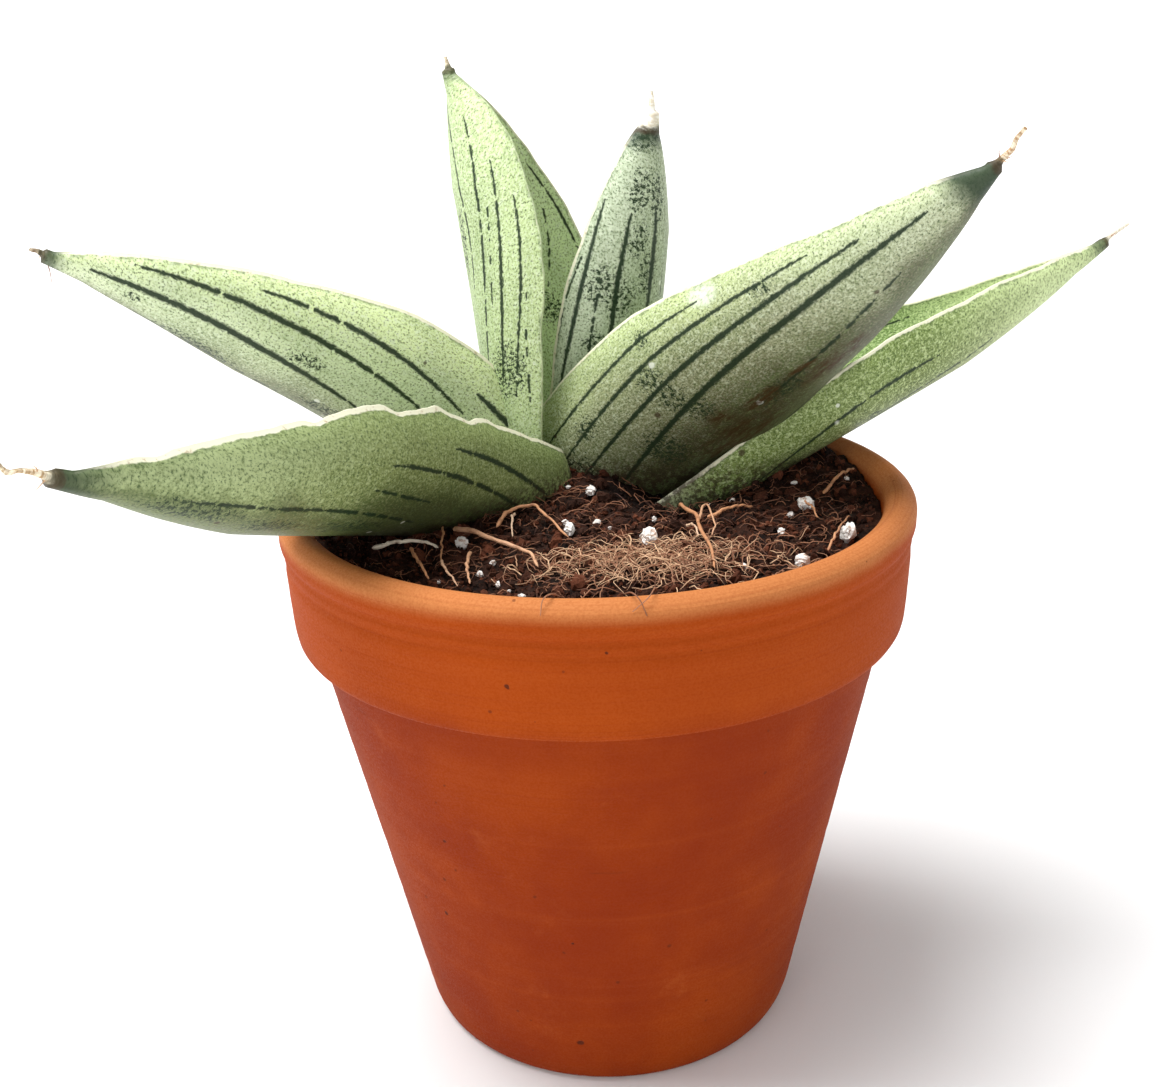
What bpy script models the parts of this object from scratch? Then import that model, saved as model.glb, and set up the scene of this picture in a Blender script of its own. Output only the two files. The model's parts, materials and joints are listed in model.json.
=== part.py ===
"""A young snake plant in a standard clay pot.

Six thick channelled leaves rise from one short rootstock that sits in potting soil, with a few
surface roots and grains of perlite on top. Everything is in metres with +Z up. The origin is on
the ground, under the middle of the whole outline, so the pot's own axis stands a little off it.
"""

import math

import bmesh
import bpy
import numpy as np

MM = 0.001
GAP = 0.3 * MM

# The pot's axis on the ground, seen from the middle of the outline
POT_AXIS = (-8.5 * MM, 14.8 * MM, 0.0)
TURN_STEPS = 48

# Clay pot: rim diameter, height, and the collar under the rim
RIM_RADIUS = 60.0 * MM
POT_HEIGHT = 109.0 * MM
COLLAR_BOTTOM = 84.5 * MM
COLLAR_FOOT_RADIUS = 58.7 * MM
NECK_RADIUS = 54.9 * MM
FOOT_RADIUS = 38.1 * MM
FLOOR_THICKNESS = 6.5 * MM
MOUTH_RADIUS = 54.3 * MM
HOLE_RADIUS = 6.5 * MM
WALL_SLOPE = 0.204

# Soil: its mean level, and the hills and hollows in it as x, y, spread and height
SOIL_LEVEL = 105.2 * MM
SOIL_RINGS = (0.0, 0.14, 0.28, 0.42, 0.56, 0.70, 0.84, 0.94, 1.0)
SOIL_RELIEF = (
    (50 * MM, 26 * MM, 12 * MM, 2.8 * MM),
    (3 * MM, 17 * MM, 8 * MM, 4.5 * MM),
    (16 * MM, 8 * MM, 7 * MM, -5.5 * MM),
    (-24 * MM, -8 * MM, 10 * MM, 1.2 * MM),
    (14 * MM, -34 * MM, 12 * MM, 1.2 * MM),
    (-36 * MM, -26 * MM, 9 * MM, -1.5 * MM),
)

# Rootstock that the leaves grow from
ROOTSTOCK_CENTRE = (1 * MM, 21 * MM, 90 * MM)
ROOTSTOCK_RADII = (20 * MM, 11 * MM, 8 * MM)

# Leaves: lengths in metres, angles in degrees. "heading" is the compass direction of the leaf from
# +X towards +Y and "swing" its change along the leaf, "pitch" its climb at the base, middle and
# tip, "roll" its turn about its own midrib and "fold" half the angle of its channel, both at base
# and tip. "broadest" is where along the leaf it is widest and "base" the share of that width at
# the foot. "spine" is the dry point past the green tip, and "sheath" the part down in the soil.
LEAVES = {
    "leaf_front_left": dict(
        foot=(-14.0 * MM, 11.5 * MM, 99.2 * MM), heading=235.5, swing=7.0, pitch=(21.5, 18.0, 26.0),
        length=116.5 * MM, width=41.5 * MM, broadest=0.46, base=0.75, taper=(1.7, 1.1),
        fold=(74, 83), roll=(-32, -16), spine=8.5 * MM, sheath=8.0 * MM),
    "leaf_left": dict(
        foot=(-14.5 * MM, 23.5 * MM, 97.3 * MM), heading=200.5, swing=1.5, pitch=(43.5, 33.5, 29.0),
        length=105.0 * MM, width=43.5 * MM, broadest=0.38, base=0.66, taper=(1.4, 0.8),
        fold=(64, 69), roll=(-47, -24), spine=2.5 * MM, sheath=8.0 * MM),
    "leaf_right_front": dict(
        foot=(-0.5 * MM, 20.0 * MM, 97.5 * MM), heading=-35.0, swing=0.5, pitch=(44.0, 38.5, 51.0),
        length=106.5 * MM, width=49.0 * MM, broadest=0.36, base=0.86, taper=(1.4, 0.7),
        fold=(45, 71), roll=(55, 14), spine=7.5 * MM, sheath=8.0 * MM),
    "leaf_upright_centre": dict(
        foot=(2.0 * MM, 30.0 * MM, 98.0 * MM), heading=-15.5, swing=-1.0, pitch=(76.0, 82.0, 86.0),
        length=77.5 * MM, width=38.0 * MM, broadest=0.41, base=0.74, taper=(1.9, 0.8),
        fold=(74, 76), roll=(9, 3), spine=4.0 * MM, sheath=8.0 * MM),
    "leaf_upright_left": dict(
        foot=(-10.5 * MM, 29.5 * MM, 99.0 * MM), heading=165.0, swing=3.5, pitch=(75.0, 81.0, 77.0),
        length=86.0 * MM, width=49.0 * MM, broadest=0.45, base=0.76, taper=(2.2, 0.9),
        fold=(86, 84), roll=(26, -20), spine=2.5 * MM, sheath=8.0 * MM),
    "leaf_right": dict(
        foot=(20.5 * MM, 16.5 * MM, 102.0 * MM), heading=13.0, swing=8.5, pitch=(27.5, 22.5, 31.0),
        length=101.5 * MM, width=40.0 * MM, broadest=0.35, base=0.75, taper=(1.4, 0.9),
        fold=(85, 82), roll=(-10, 24), spine=7.0 * MM, sheath=15.0 * MM),
}
LEAF_THICKNESS = 4.8 * MM
MARGIN_THICKNESS = 0.8 * MM
TIP_SHARE = 0.10
SHEATH_NARROWING = 0.4
SPINE_FADING = 0.8
SHEATH_STATIONS = 2
LEAF_STATIONS = 15
SPINE_STATIONS = 3
LEAF_COLUMNS = 9

# Surface roots: route on the soil in millimetres from the pot's axis, and the root's radius
ROOTS = {
    "root_white": (((-40, -22), (-36, -22), (-32, -22), (-28, -24)), 0.42 * MM),
    "root_tan_long": (((-26, -17), (-22, -21), (-17, -27), (-12, -31), (-10, -37)), 0.45 * MM),
    "root_tan_loop": (((-18, -18), (-16, -12), (-12, -9), (-9, -14), (-5, -24)), 0.36 * MM),
    "root_fork_stem": (((16, 0), (16, -9), (18, -18), (18, -26), (19, -36), (19, -42)), 0.40 * MM),
    "root_fork_side": (((20, -16), (24, -13), (29, -9)), 0.36 * MM),
    "root_right": (((43, -3), (47, 3), (51, 9)), 0.36 * MM),
    "root_strand_left": (((-33, -23), (-31, -31), (-28, -40)), 0.33 * MM),
    "root_strand_front": (((-22, -28), (-22, -36), (-21, -43)), 0.33 * MM),
}
ROOT_LIFT = 1.2 * MM
ROOT_ARCH = 1.0 * MM
ROOT_POINTS = 13

# Perlite: place on the soil in millimetres from the pot's axis, and the grain's diameter
PERLITE = (
    ((39, -8), 4.4 * MM),
    ((44, -24), 4.0 * MM),
    ((34, -37), 3.0 * MM),
    ((9, -25), 3.2 * MM),
    ((0, -15), 2.6 * MM),
    ((-5, -18), 3.0 * MM),
    ((-24, -22), 2.6 * MM),
    ((-1, 3), 2.4 * MM),
    ((-30, 34), 3.4 * MM),
    ((24, 42), 3.0 * MM),
)

CLAY = ("clay", (0.66, 0.25, 0.08), 0.75)
SOIL = ("soil", (0.05, 0.028, 0.018), 0.95)
LEAF = ("leaf", (0.36, 0.45, 0.26), 0.5)
STOCK = ("rootstock", (0.55, 0.42, 0.25), 0.7)
ROOT = ("root", (0.62, 0.45, 0.32), 0.8)
GRAIN = ("perlite", (0.85, 0.84, 0.80), 0.9)


def clear_scene():
    """Start from an empty scene."""
    for item in list(bpy.data.objects):
        bpy.data.objects.remove(item)


def new_collection(name):
    """A collection of the scene's own."""
    made = bpy.data.collections.new(name)
    bpy.context.scene.collection.children.link(made)
    return made


def material(name, colour, roughness):
    """A plain Principled material, made once for each finish."""
    found = bpy.data.materials.get(name)
    if found:
        return found
    made = bpy.data.materials.new(name)
    made.use_nodes = True
    shader = made.node_tree.nodes["Principled BSDF"]
    shader.inputs["Base Color"].default_value = (*colour, 1.0)
    shader.inputs["Roughness"].default_value = roughness
    shader.inputs["Metallic"].default_value = 0.0
    return made


def place(name, mesh, finish, collection):
    """An object for a mesh whose coordinates are taken from the pot's axis."""
    made = bpy.data.objects.new(name, mesh)
    made.data.materials.clear()
    made.data.materials.append(material(*finish))
    made.location = POT_AXIS
    collection.objects.link(made)
    return made


def turned(name, profile, finish, collection):
    """A closed body turned about the pot's axis from a profile at +X."""
    mesh = bpy.data.meshes.new(name)
    points = [(radius, 0.0, height) for radius, height in profile]
    closed = profile[0][0] > 0.0
    edges = [(i, i + 1) for i in range(len(points) - 1)]
    if closed:
        edges.append((len(points) - 1, 0))
    mesh.from_pydata(points, edges, [])
    made = place(name, mesh, finish, collection)
    screw = made.modifiers.new("turn", "SCREW")
    screw.steps = TURN_STEPS
    screw.render_steps = TURN_STEPS
    screw.use_merge_vertices = True
    screw.merge_threshold = 0.01 * MM
    screw.use_smooth_shade = True
    return made


def frozen(item):
    """The object with its modifiers applied to its mesh."""
    bpy.context.view_layer.update()
    graph = bpy.context.evaluated_depsgraph_get()
    mesh = bpy.data.meshes.new_from_object(item.evaluated_get(graph))
    item.modifiers.clear()
    item.data = mesh
    return item


def inner_radius(height):
    """Radius of the pot's straight inner wall at a height."""
    return MOUTH_RADIUS - WALL_SLOPE * (POT_HEIGHT - 2.0 * MM - height)


def make_pot(collection):
    """The pot: rolled rim, collar, tapered body, floor with its drainage hole."""
    crest = RIM_RADIUS - 3.0 * MM
    profile = [
        (crest, POT_HEIGHT),
        (crest + 1.8 * MM, POT_HEIGHT - 0.7 * MM),
        (RIM_RADIUS - 0.2 * MM, POT_HEIGHT - 2.2 * MM),
        (RIM_RADIUS, POT_HEIGHT - 4.0 * MM),
        (RIM_RADIUS - 0.4 * MM, POT_HEIGHT - 8.0 * MM),
        (COLLAR_FOOT_RADIUS, COLLAR_BOTTOM + 2.0 * MM),
        (COLLAR_FOOT_RADIUS - 0.4 * MM, COLLAR_BOTTOM + 0.6 * MM),
        (COLLAR_FOOT_RADIUS - 1.4 * MM, COLLAR_BOTTOM),
        (NECK_RADIUS, COLLAR_BOTTOM),
        (FOOT_RADIUS, 2.3 * MM),
        (FOOT_RADIUS - 0.5 * MM, 0.7 * MM),
        (FOOT_RADIUS - 1.8 * MM, 0.0),
        (HOLE_RADIUS, 0.0),
        (HOLE_RADIUS, FLOOR_THICKNESS),
        (inner_radius(9.0 * MM) - 2.5 * MM, FLOOR_THICKNESS),
        (inner_radius(9.0 * MM), 9.0 * MM),
        (MOUTH_RADIUS, POT_HEIGHT - 2.0 * MM),
        (MOUTH_RADIUS + 0.9 * MM, POT_HEIGHT - 0.6 * MM),
    ]
    return turned("terracotta_pot", profile, CLAY, collection)


def soil_height(x, y):
    """Height of the soil's surface at a place given from the pot's axis."""
    height = SOIL_LEVEL
    for hill_x, hill_y, spread, rise in SOIL_RELIEF:
        away = ((x - hill_x) ** 2 + (y - hill_y) ** 2) / (2.0 * spread**2)
        height += rise * math.exp(-away)
    return height


def make_soil(collection):
    """The soil that fills the pot, with its surface raised and lowered by the relief."""
    floor = FLOOR_THICKNESS + GAP
    edge = inner_radius(SOIL_LEVEL) - GAP
    profile = [(share * edge, SOIL_LEVEL) for share in SOIL_RINGS]
    profile.append((inner_radius(9.0 * MM) - GAP, 9.0 * MM + GAP))
    profile.append((inner_radius(9.0 * MM) - 2.5 * MM - GAP, floor))
    profile.append((0.0, floor))
    soil = frozen(turned("potting_soil", profile, SOIL, collection))
    for vertex in soil.data.vertices:
        if vertex.co.z > SOIL_LEVEL - 0.1 * MM:
            vertex.co.z = soil_height(vertex.co.x, vertex.co.y)
            reach = math.hypot(vertex.co.x, vertex.co.y)
            limit = inner_radius(vertex.co.z) - GAP
            if reach > limit:
                vertex.co.x *= limit / reach
                vertex.co.y *= limit / reach
    return soil


def leaf_spine(shape):
    """Stations along a leaf: place, side and face directions, half width, fold and thickness.

    The midrib is walked forward from the foot along the heading and the pitch. The pitch is the
    parabola through its three values. The width grows as a quarter sine to the broadest place and
    then falls as (1 - q^k)^e. Past the green tip the dry spine runs straight on, down to a point,
    and below the foot a narrower sheath runs straight back into the soil, to the rootstock.
    """
    along = np.linspace(0.0, 1.0, LEAF_STATIONS)
    heading = np.radians(shape["heading"] + shape["swing"] * along)
    low, middle, high = np.radians(shape["pitch"])
    pitch = low * (1 - along) * (1 - 2 * along) + middle * 4 * along * (1 - along)
    pitch = pitch + high * along * (2 * along - 1)
    ahead = np.stack(
        [np.cos(pitch) * np.cos(heading), np.cos(pitch) * np.sin(heading), np.sin(pitch)], axis=1)
    stride = shape["length"] / (LEAF_STATIONS - 1)
    steps = np.cumsum((ahead[1:] + ahead[:-1]) / 2, axis=0) * stride
    rib = np.array(shape["foot"]) + np.vstack([np.zeros(3), steps])

    level = np.cross(ahead, [0.0, 0.0, 1.0])
    level /= np.linalg.norm(level, axis=1, keepdims=True)
    upward = np.cross(level, ahead)
    roll = np.radians(shape["roll"][0] + (shape["roll"][1] - shape["roll"][0]) * along)[:, None]
    side = np.cos(roll) * level + np.sin(roll) * upward
    face = np.cos(roll) * upward - np.sin(roll) * level

    broadest, base = shape["broadest"], shape["base"]
    power, ease = shape["taper"]
    rising = base + (1 - base) * np.sin(np.pi / 2 * np.clip(along / broadest, 0, 1))
    falling = (1 - np.clip((along - broadest) / (1 - broadest), 0, 1) ** power) ** ease
    share = np.maximum(np.where(along < broadest, rising, falling), TIP_SHARE)
    half = shape["width"] / 2 * share
    fold = np.radians(shape["fold"][0] + (shape["fold"][1] - shape["fold"][0]) * along)
    body = (LEAF_THICKNESS - MARGIN_THICKNESS) * np.clip(1.3 * share, 0.3, 1.0)

    beyond = np.linspace(0.0, 1.0, SPINE_STATIONS + 1)[1:, None]
    before = np.linspace(1.0, 0.0, SHEATH_STATIONS + 1)[:-1, None]
    buried = rib[0] - before * shape["sheath"] * ahead[0]
    dried = rib[-1] + beyond * shape["spine"] * ahead[-1]
    rib = np.vstack([buried, rib, dried])
    ends = [0] * SHEATH_STATIONS + list(range(LEAF_STATIONS)) + [-1] * SPINE_STATIONS
    narrowing = 1 - SHEATH_NARROWING * before[:, 0]
    fading = 1 - SPINE_FADING * beyond[:, 0]
    waist = np.concatenate([narrowing, np.ones(LEAF_STATIONS), fading])
    thin = np.concatenate([np.ones(SHEATH_STATIONS + LEAF_STATIONS), fading])
    return rib, side[ends], face[ends], half[ends] * waist, fold[ends], body[ends] * thin


def leaf_mesh(name, shape, extra=0.0):
    """Closed loft of a leaf, from its channel round both margins to its back.

    Each section is an arc across the leaf, its margins lifted towards the upper face, and a back
    that stands off it by the thickness, which thins towards the margins. "extra" lets the same
    loft stand proud on every side, for a cutter.
    """
    rib, side, face, half, fold, body = leaf_spine(shape)
    reach = half + extra
    across = np.linspace(-1.0, 1.0, LEAF_COLUMNS)
    bend = across[None, :] * fold[:, None]
    radius = (reach / fold)[:, None]
    out = side[:, None] * np.sin(bend)[..., None] - face[:, None] * np.cos(bend)[..., None]
    keel = radius[..., None] * face[:, None]
    upper = rib[:, None] + keel + out * (radius[..., None] - extra)
    depth = MARGIN_THICKNESS + body[:, None] * (1 - np.abs(across) ** 2.5)[None, :]
    back = rib[:, None] + keel + out * (radius + depth + extra)[..., None]
    rings = np.concatenate([upper, back[:, ::-1]], axis=1)
    if extra:
        ahead = np.cross(face, side)
        rings[0] -= extra * ahead[0]
        rings[-1] += extra * ahead[-1]

    count, size = rings.shape[:2]
    ids = np.arange(count * size).reshape(count, size)
    faces = []
    for row in range(count - 1):
        for col in range(size):
            following = (col + 1) % size
            faces.append((ids[row, col], ids[row + 1, col], ids[row + 1, following], ids[row, following]))
    for col in range(LEAF_COLUMNS - 1):
        mirror = size - 1 - col
        faces.append((ids[0, col], ids[0, col + 1], ids[0, mirror - 1], ids[0, mirror]))
        faces.append((ids[-1, mirror], ids[-1, mirror - 1], ids[-1, col + 1], ids[-1, col]))
    mesh = bpy.data.meshes.new(name)
    mesh.from_pydata(rings.reshape(-1, 3).tolist(), [], [tuple(int(i) for i in f) for f in faces])
    shell = bmesh.new()
    shell.from_mesh(mesh)
    bmesh.ops.recalc_face_normals(shell, faces=shell.faces)
    shell.to_mesh(mesh)
    shell.free()
    mesh.shade_smooth()
    mesh.set_sharp_from_angle(angle=math.radians(50))
    return mesh


def cutter(name, mesh, finish, collection):
    """A hidden guide body that pockets are cut with."""
    made = place(name, mesh, finish, collection)
    made.hide_render = True
    made.display_type = "WIRE"
    return made


def cut(item, tools):
    """Cut the tools out of a body and keep its largest piece."""
    for tool in tools:
        step = item.modifiers.new("cut_" + tool.name, "BOOLEAN")
        step.operation = "DIFFERENCE"
        step.solver = "EXACT"
        step.object = tool
    frozen(item)
    keep_largest(item.data)
    return item


def keep_largest(mesh):
    """Delete every loose piece of a mesh but the largest."""
    body = bmesh.new()
    body.from_mesh(mesh)
    left = set(body.verts)
    islands = []
    while left:
        front = [left.pop()]
        island = list(front)
        while front:
            vertex = front.pop()
            for edge in vertex.link_edges:
                other = edge.other_vert(vertex)
                if other in left:
                    left.remove(other)
                    front.append(other)
                    island.append(other)
        islands.append(island)
    islands.sort(key=len)
    for island in islands[:-1]:
        bmesh.ops.delete(body, geom=island, context="VERTS")
    body.to_mesh(mesh)
    body.free()


def make_rootstock(collection):
    """The short thick rootstock, an egg-shaped body lying across the pot."""
    mesh = bpy.data.meshes.new("rootstock")
    body = bmesh.new()
    bmesh.ops.create_uvsphere(body, u_segments=20, v_segments=12, radius=1.0)
    bmesh.ops.scale(body, vec=ROOTSTOCK_RADII, verts=body.verts)
    bmesh.ops.translate(body, vec=ROOTSTOCK_CENTRE, verts=body.verts)
    body.to_mesh(mesh)
    body.free()
    mesh.shade_smooth()
    return place("rootstock", mesh, STOCK, collection)


def rootstock_cutter(rootstock, collection):
    """The rootstock, larger by the gap all round."""
    mesh = rootstock.data.copy()
    for vertex in mesh.vertices:
        vertex.co += vertex.normal * GAP * 1.5
    return cutter("rootstock_cutter", mesh, STOCK, collection)


def smooth_route(points, count):
    """Points spaced along a Catmull-Rom curve through the route's own points."""
    knots = np.array([points[0], *points, points[-1]], dtype=float)
    spans = len(points) - 1
    out = []
    for value in np.linspace(0.0, spans, count):
        index = min(int(value), spans - 1)
        t = value - index
        a, b, c, d = knots[index:index + 4]
        cubic = 2 * b + (c - a) * t + (2 * a - 5 * b + 4 * c - d) * t**2
        out.append((cubic + (3 * b - a - 3 * c + d) * t**3) / 2)
    return out


def make_root(name, route, radius, collection):
    """A root lying on the soil, arched a little between its ends."""
    curve = bpy.data.curves.new(name, "CURVE")
    curve.dimensions = "3D"
    curve.bevel_depth = radius
    curve.bevel_resolution = 2
    curve.render_resolution_u = 0
    curve.use_fill_caps = True
    line = curve.splines.new("POLY")
    line.points.add(ROOT_POINTS - 1)
    for index, (x, y) in enumerate(smooth_route(route, ROOT_POINTS)):
        arch = math.sin(math.pi * index / (ROOT_POINTS - 1))
        height = soil_height(x * MM, y * MM) + ROOT_LIFT + ROOT_ARCH * arch
        line.points[index].co = (x * MM, y * MM, height, 1.0)
    curve.materials.append(material(*ROOT))
    made = bpy.data.objects.new(name, curve)
    made.location = POT_AXIS
    collection.objects.link(made)
    return made


def make_perlite(index, spot, size, collection):
    """One rough grain of perlite, an icosphere pushed in and out by a wave."""
    name = f"perlite_{index:02d}"
    mesh = bpy.data.meshes.new(name)
    body = bmesh.new()
    bmesh.ops.create_icosphere(body, subdivisions=1, radius=size / 2)
    for vertex in body.verts:
        turn = math.atan2(vertex.co.y, vertex.co.x)
        vertex.co *= 0.92 + 0.08 * math.sin(3 * turn + index)
    x, y = spot[0] * MM, spot[1] * MM
    lift = size / 2 + soil_height(x, y) + 0.6 * MM
    bmesh.ops.translate(body, vec=(x, y, lift), verts=body.verts)
    body.to_mesh(mesh)
    body.free()
    return place(name, mesh, GRAIN, collection)


def build():
    """Make the pot, then the leaves from front to back, then what their feet stand in."""
    clear_scene()
    parts = new_collection("potted_snake_plant")
    tools = new_collection("cutters")
    make_pot(parts)
    leaf_tools = []
    for name, shape in LEAVES.items():
        leaf = place(name, leaf_mesh(name, shape), LEAF, parts)
        if leaf_tools:
            cut(leaf, leaf_tools)
        tool_mesh = leaf_mesh(name + "_cutter", shape, extra=GAP * 1.5)
        leaf_tools.append(cutter(name + "_cutter", tool_mesh, LEAF, tools))
    rootstock = make_rootstock(parts)
    rootstock_tool = rootstock_cutter(rootstock, tools)
    cut(rootstock, leaf_tools)
    soil = make_soil(parts)
    cut(soil, [*leaf_tools, rootstock_tool])
    for name, (route, radius) in ROOTS.items():
        make_root(name, route, radius, parts)
    for index, (spot, size) in enumerate(PERLITE, start=1):
        make_perlite(index, spot, size, parts)


build()
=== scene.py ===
"""The finish of a young snake plant in a clay pot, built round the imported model."""

import json
import math

import bpy
import numpy as np
from mathutils import Matrix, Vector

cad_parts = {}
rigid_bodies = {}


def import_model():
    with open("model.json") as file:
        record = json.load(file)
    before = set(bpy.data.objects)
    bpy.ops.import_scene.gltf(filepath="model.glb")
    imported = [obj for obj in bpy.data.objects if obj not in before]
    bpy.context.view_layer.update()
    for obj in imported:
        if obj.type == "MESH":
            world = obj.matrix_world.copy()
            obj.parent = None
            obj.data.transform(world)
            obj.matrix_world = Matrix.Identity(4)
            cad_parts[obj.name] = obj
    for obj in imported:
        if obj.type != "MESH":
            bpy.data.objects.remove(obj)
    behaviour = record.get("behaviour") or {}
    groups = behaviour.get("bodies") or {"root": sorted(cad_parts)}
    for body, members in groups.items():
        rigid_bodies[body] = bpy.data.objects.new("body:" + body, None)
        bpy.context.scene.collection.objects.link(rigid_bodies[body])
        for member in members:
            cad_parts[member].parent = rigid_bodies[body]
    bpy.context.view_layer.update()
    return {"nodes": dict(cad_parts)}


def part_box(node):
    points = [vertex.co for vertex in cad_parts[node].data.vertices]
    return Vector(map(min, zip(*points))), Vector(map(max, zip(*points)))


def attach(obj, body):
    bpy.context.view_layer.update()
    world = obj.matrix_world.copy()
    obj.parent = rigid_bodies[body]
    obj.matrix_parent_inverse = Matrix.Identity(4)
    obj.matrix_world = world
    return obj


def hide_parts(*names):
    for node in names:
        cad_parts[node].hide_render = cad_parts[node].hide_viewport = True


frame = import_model()

# --- Clay pot ---------------------------------------------------------------------------------
# One thrown pot of red clay, fired and unglazed, with a rolled rim, a deep collar, a tapering
# body and a drainage hole. The potter's fingers left fine rings, and use left specks and grazes.

MM = 0.001
TAU = 2 * math.pi
pot_low, pot_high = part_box("terracotta_pot")
AXIS = np.array([(pot_low.x + pot_high.x) / 2, (pot_low.y + pot_high.y) / 2, 0.0])
RIM_RADIUS = (pot_high.x - pot_low.x) / 2
POT_HEIGHT = pot_high.z
CLAY_TURN = 240
CLAY_RINGS = 400
# Corners of the pot's section: distance from the axis, height and rounding, all in millimetres
POT_CORNERS = (
    (53.2, 101.0, 1.0), (54.3, 107.4, 1.2), (57.2, 109.3, 2.6), (60.2, 107.4, 2.4), (60.0, 103.6, 0.7),
    (58.95, 102.2, 0.7), (59.5, 101.1, 0.5), (58.95, 99.9, 0.5), (59.3, 98.4, 0.9), (58.75, 86.6, 3.0),
    (58.2, 84.4, 1.4), (55.1, 84.4, 0.7),
    (38.4, 2.6, 2.6), (37.2, 0.0, 1.6), (6.5, 0.0, 0.8), (6.5, 6.5, 0.8), (32.2, 6.5, 3.0), (34.4, 9.6, 3.0),
)


def rounded_section(corners, count):
    """A closed section with rounded corners, spaced evenly along its length.

    Each corner is left on its two sides at its rounding and crossed by a parabola that is
    (1-t)^2 of the first point, 2t(1-t) of the corner and t^2 of the second.
    """
    knots = np.array(corners)[:, :2]
    before = np.roll(knots, 1, axis=0)
    after = np.roll(knots, -1, axis=0)
    reach = np.array(corners)[:, 2:]
    back = before - knots
    ahead = after - knots
    start = knots + back * np.minimum(reach / np.linalg.norm(back, axis=1, keepdims=True), 0.45)
    end = knots + ahead * np.minimum(reach / np.linalg.norm(ahead, axis=1, keepdims=True), 0.45)
    t = np.linspace(0, 1, 9)[None, :, None]
    bends = (1 - t) ** 2 * start[:, None] + 2 * t * (1 - t) * knots[:, None] + t**2 * end[:, None]
    line = bends.reshape(-1, 2)
    line = np.vstack([line, line[:1]])
    walked = np.concatenate([[0], np.cumsum(np.linalg.norm(np.diff(line, axis=0), axis=1))])
    even = np.linspace(0, walked[-1], count, endpoint=False)
    spaced = np.stack([np.interp(even, walked, line[:, k]) for k in (0, 1)], axis=1)
    return spaced, walked[-1]


def drift(x, y, seed):
    """Smooth noise from -1 to 1: a repeating square of seeded random heights, blended by
    3t^2 - 2t^3 along both sides."""
    size = 64
    grid = np.random.default_rng(seed).uniform(-1, 1, (size, size))
    left, low = np.floor(x).astype(int), np.floor(y).astype(int)
    tx, ty = x - left, y - low
    tx, ty = tx * tx * (3 - 2 * tx), ty * ty * (3 - 2 * ty)
    a, b = grid[left % size, low % size], grid[(left + 1) % size, low % size]
    c, d = grid[left % size, (low + 1) % size], grid[(left + 1) % size, (low + 1) % size]
    return (a * (1 - tx) + b * tx) * (1 - ty) + (c * (1 - tx) + d * tx) * ty


def new_mesh(name, points, faces, marks, smooth=True):
    """A mesh of points in metres and of faces by their corners, with each mark at every point."""
    mesh = bpy.data.meshes.new(name)
    mesh.from_pydata(points.reshape(-1, 3).tolist(), [], faces)
    for key, values in marks.items():
        mark = mesh.attributes.new(key, "FLOAT", "POINT")
        mark.data.foreach_set("value", np.asarray(values, np.float32).ravel())
    mesh.polygons.foreach_set("use_smooth", np.full(len(faces), smooth))
    return mesh


def sheet_mesh(name, points, uv, wrap_rows=False, caps=False, marks=None):
    """A mesh of four-sided faces over a grid of points that closes on itself along its columns,
    and by choice along its rows. Its UV map and any marks are worked from the same grid, and the
    whole is turned the right way round by the sign of its volume."""
    rows, cols = points.shape[:2]
    ids = np.arange(rows * cols).reshape(rows, cols)
    i, j = np.meshgrid(np.arange(rows - (not wrap_rows)), np.arange(cols), indexing="ij")
    i, j = i.ravel(), j.ravel()
    corners = ((i, j), (i + 1, j), (i + 1, j + 1), (i, j + 1))
    quads = np.stack([ids[a % rows, b % cols] for a, b in corners], axis=1)
    loops = np.stack([np.stack([uv[0][a], uv[1][b]], axis=1) for a, b in corners], axis=1)
    a, b, c, d = (points.reshape(-1, 3)[quads[:, k]] for k in range(4))
    volume = (np.einsum("ij,ij->i", a, np.cross(b, c)) + np.einsum("ij,ij->i", a, np.cross(c, d))).sum()
    if volume < 0:
        quads, loops = quads[:, ::-1], loops[:, ::-1]
    faces = quads.tolist()
    loop_uv = loops.reshape(-1, 2)
    if caps:
        for end in (0, rows - 1):
            step = -1 if (end == 0) != (volume < 0) else 1
            faces.append(ids[end, ::step].tolist())
            loop_uv = np.vstack([loop_uv, np.tile([uv[0][end], uv[1][0]], (cols, 1))])
    mesh = new_mesh(name, points, faces, marks or {})
    layer = mesh.uv_layers.new(name="surface")
    layer.data.foreach_set("uv", loop_uv.astype(np.float32).ravel())
    mesh.update()
    return mesh


def show(name, mesh, finish, slot, *nodes):
    """Put a finished mesh in the scene, riding on the root and standing for its CAD nodes."""
    piece = bpy.data.objects.new(name, mesh)
    mesh.materials.clear()
    mesh.materials.append(finish)
    bpy.context.scene.collection.objects.link(piece)
    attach(piece, "root")
    if nodes:
        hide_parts(*nodes)
    return piece


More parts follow.
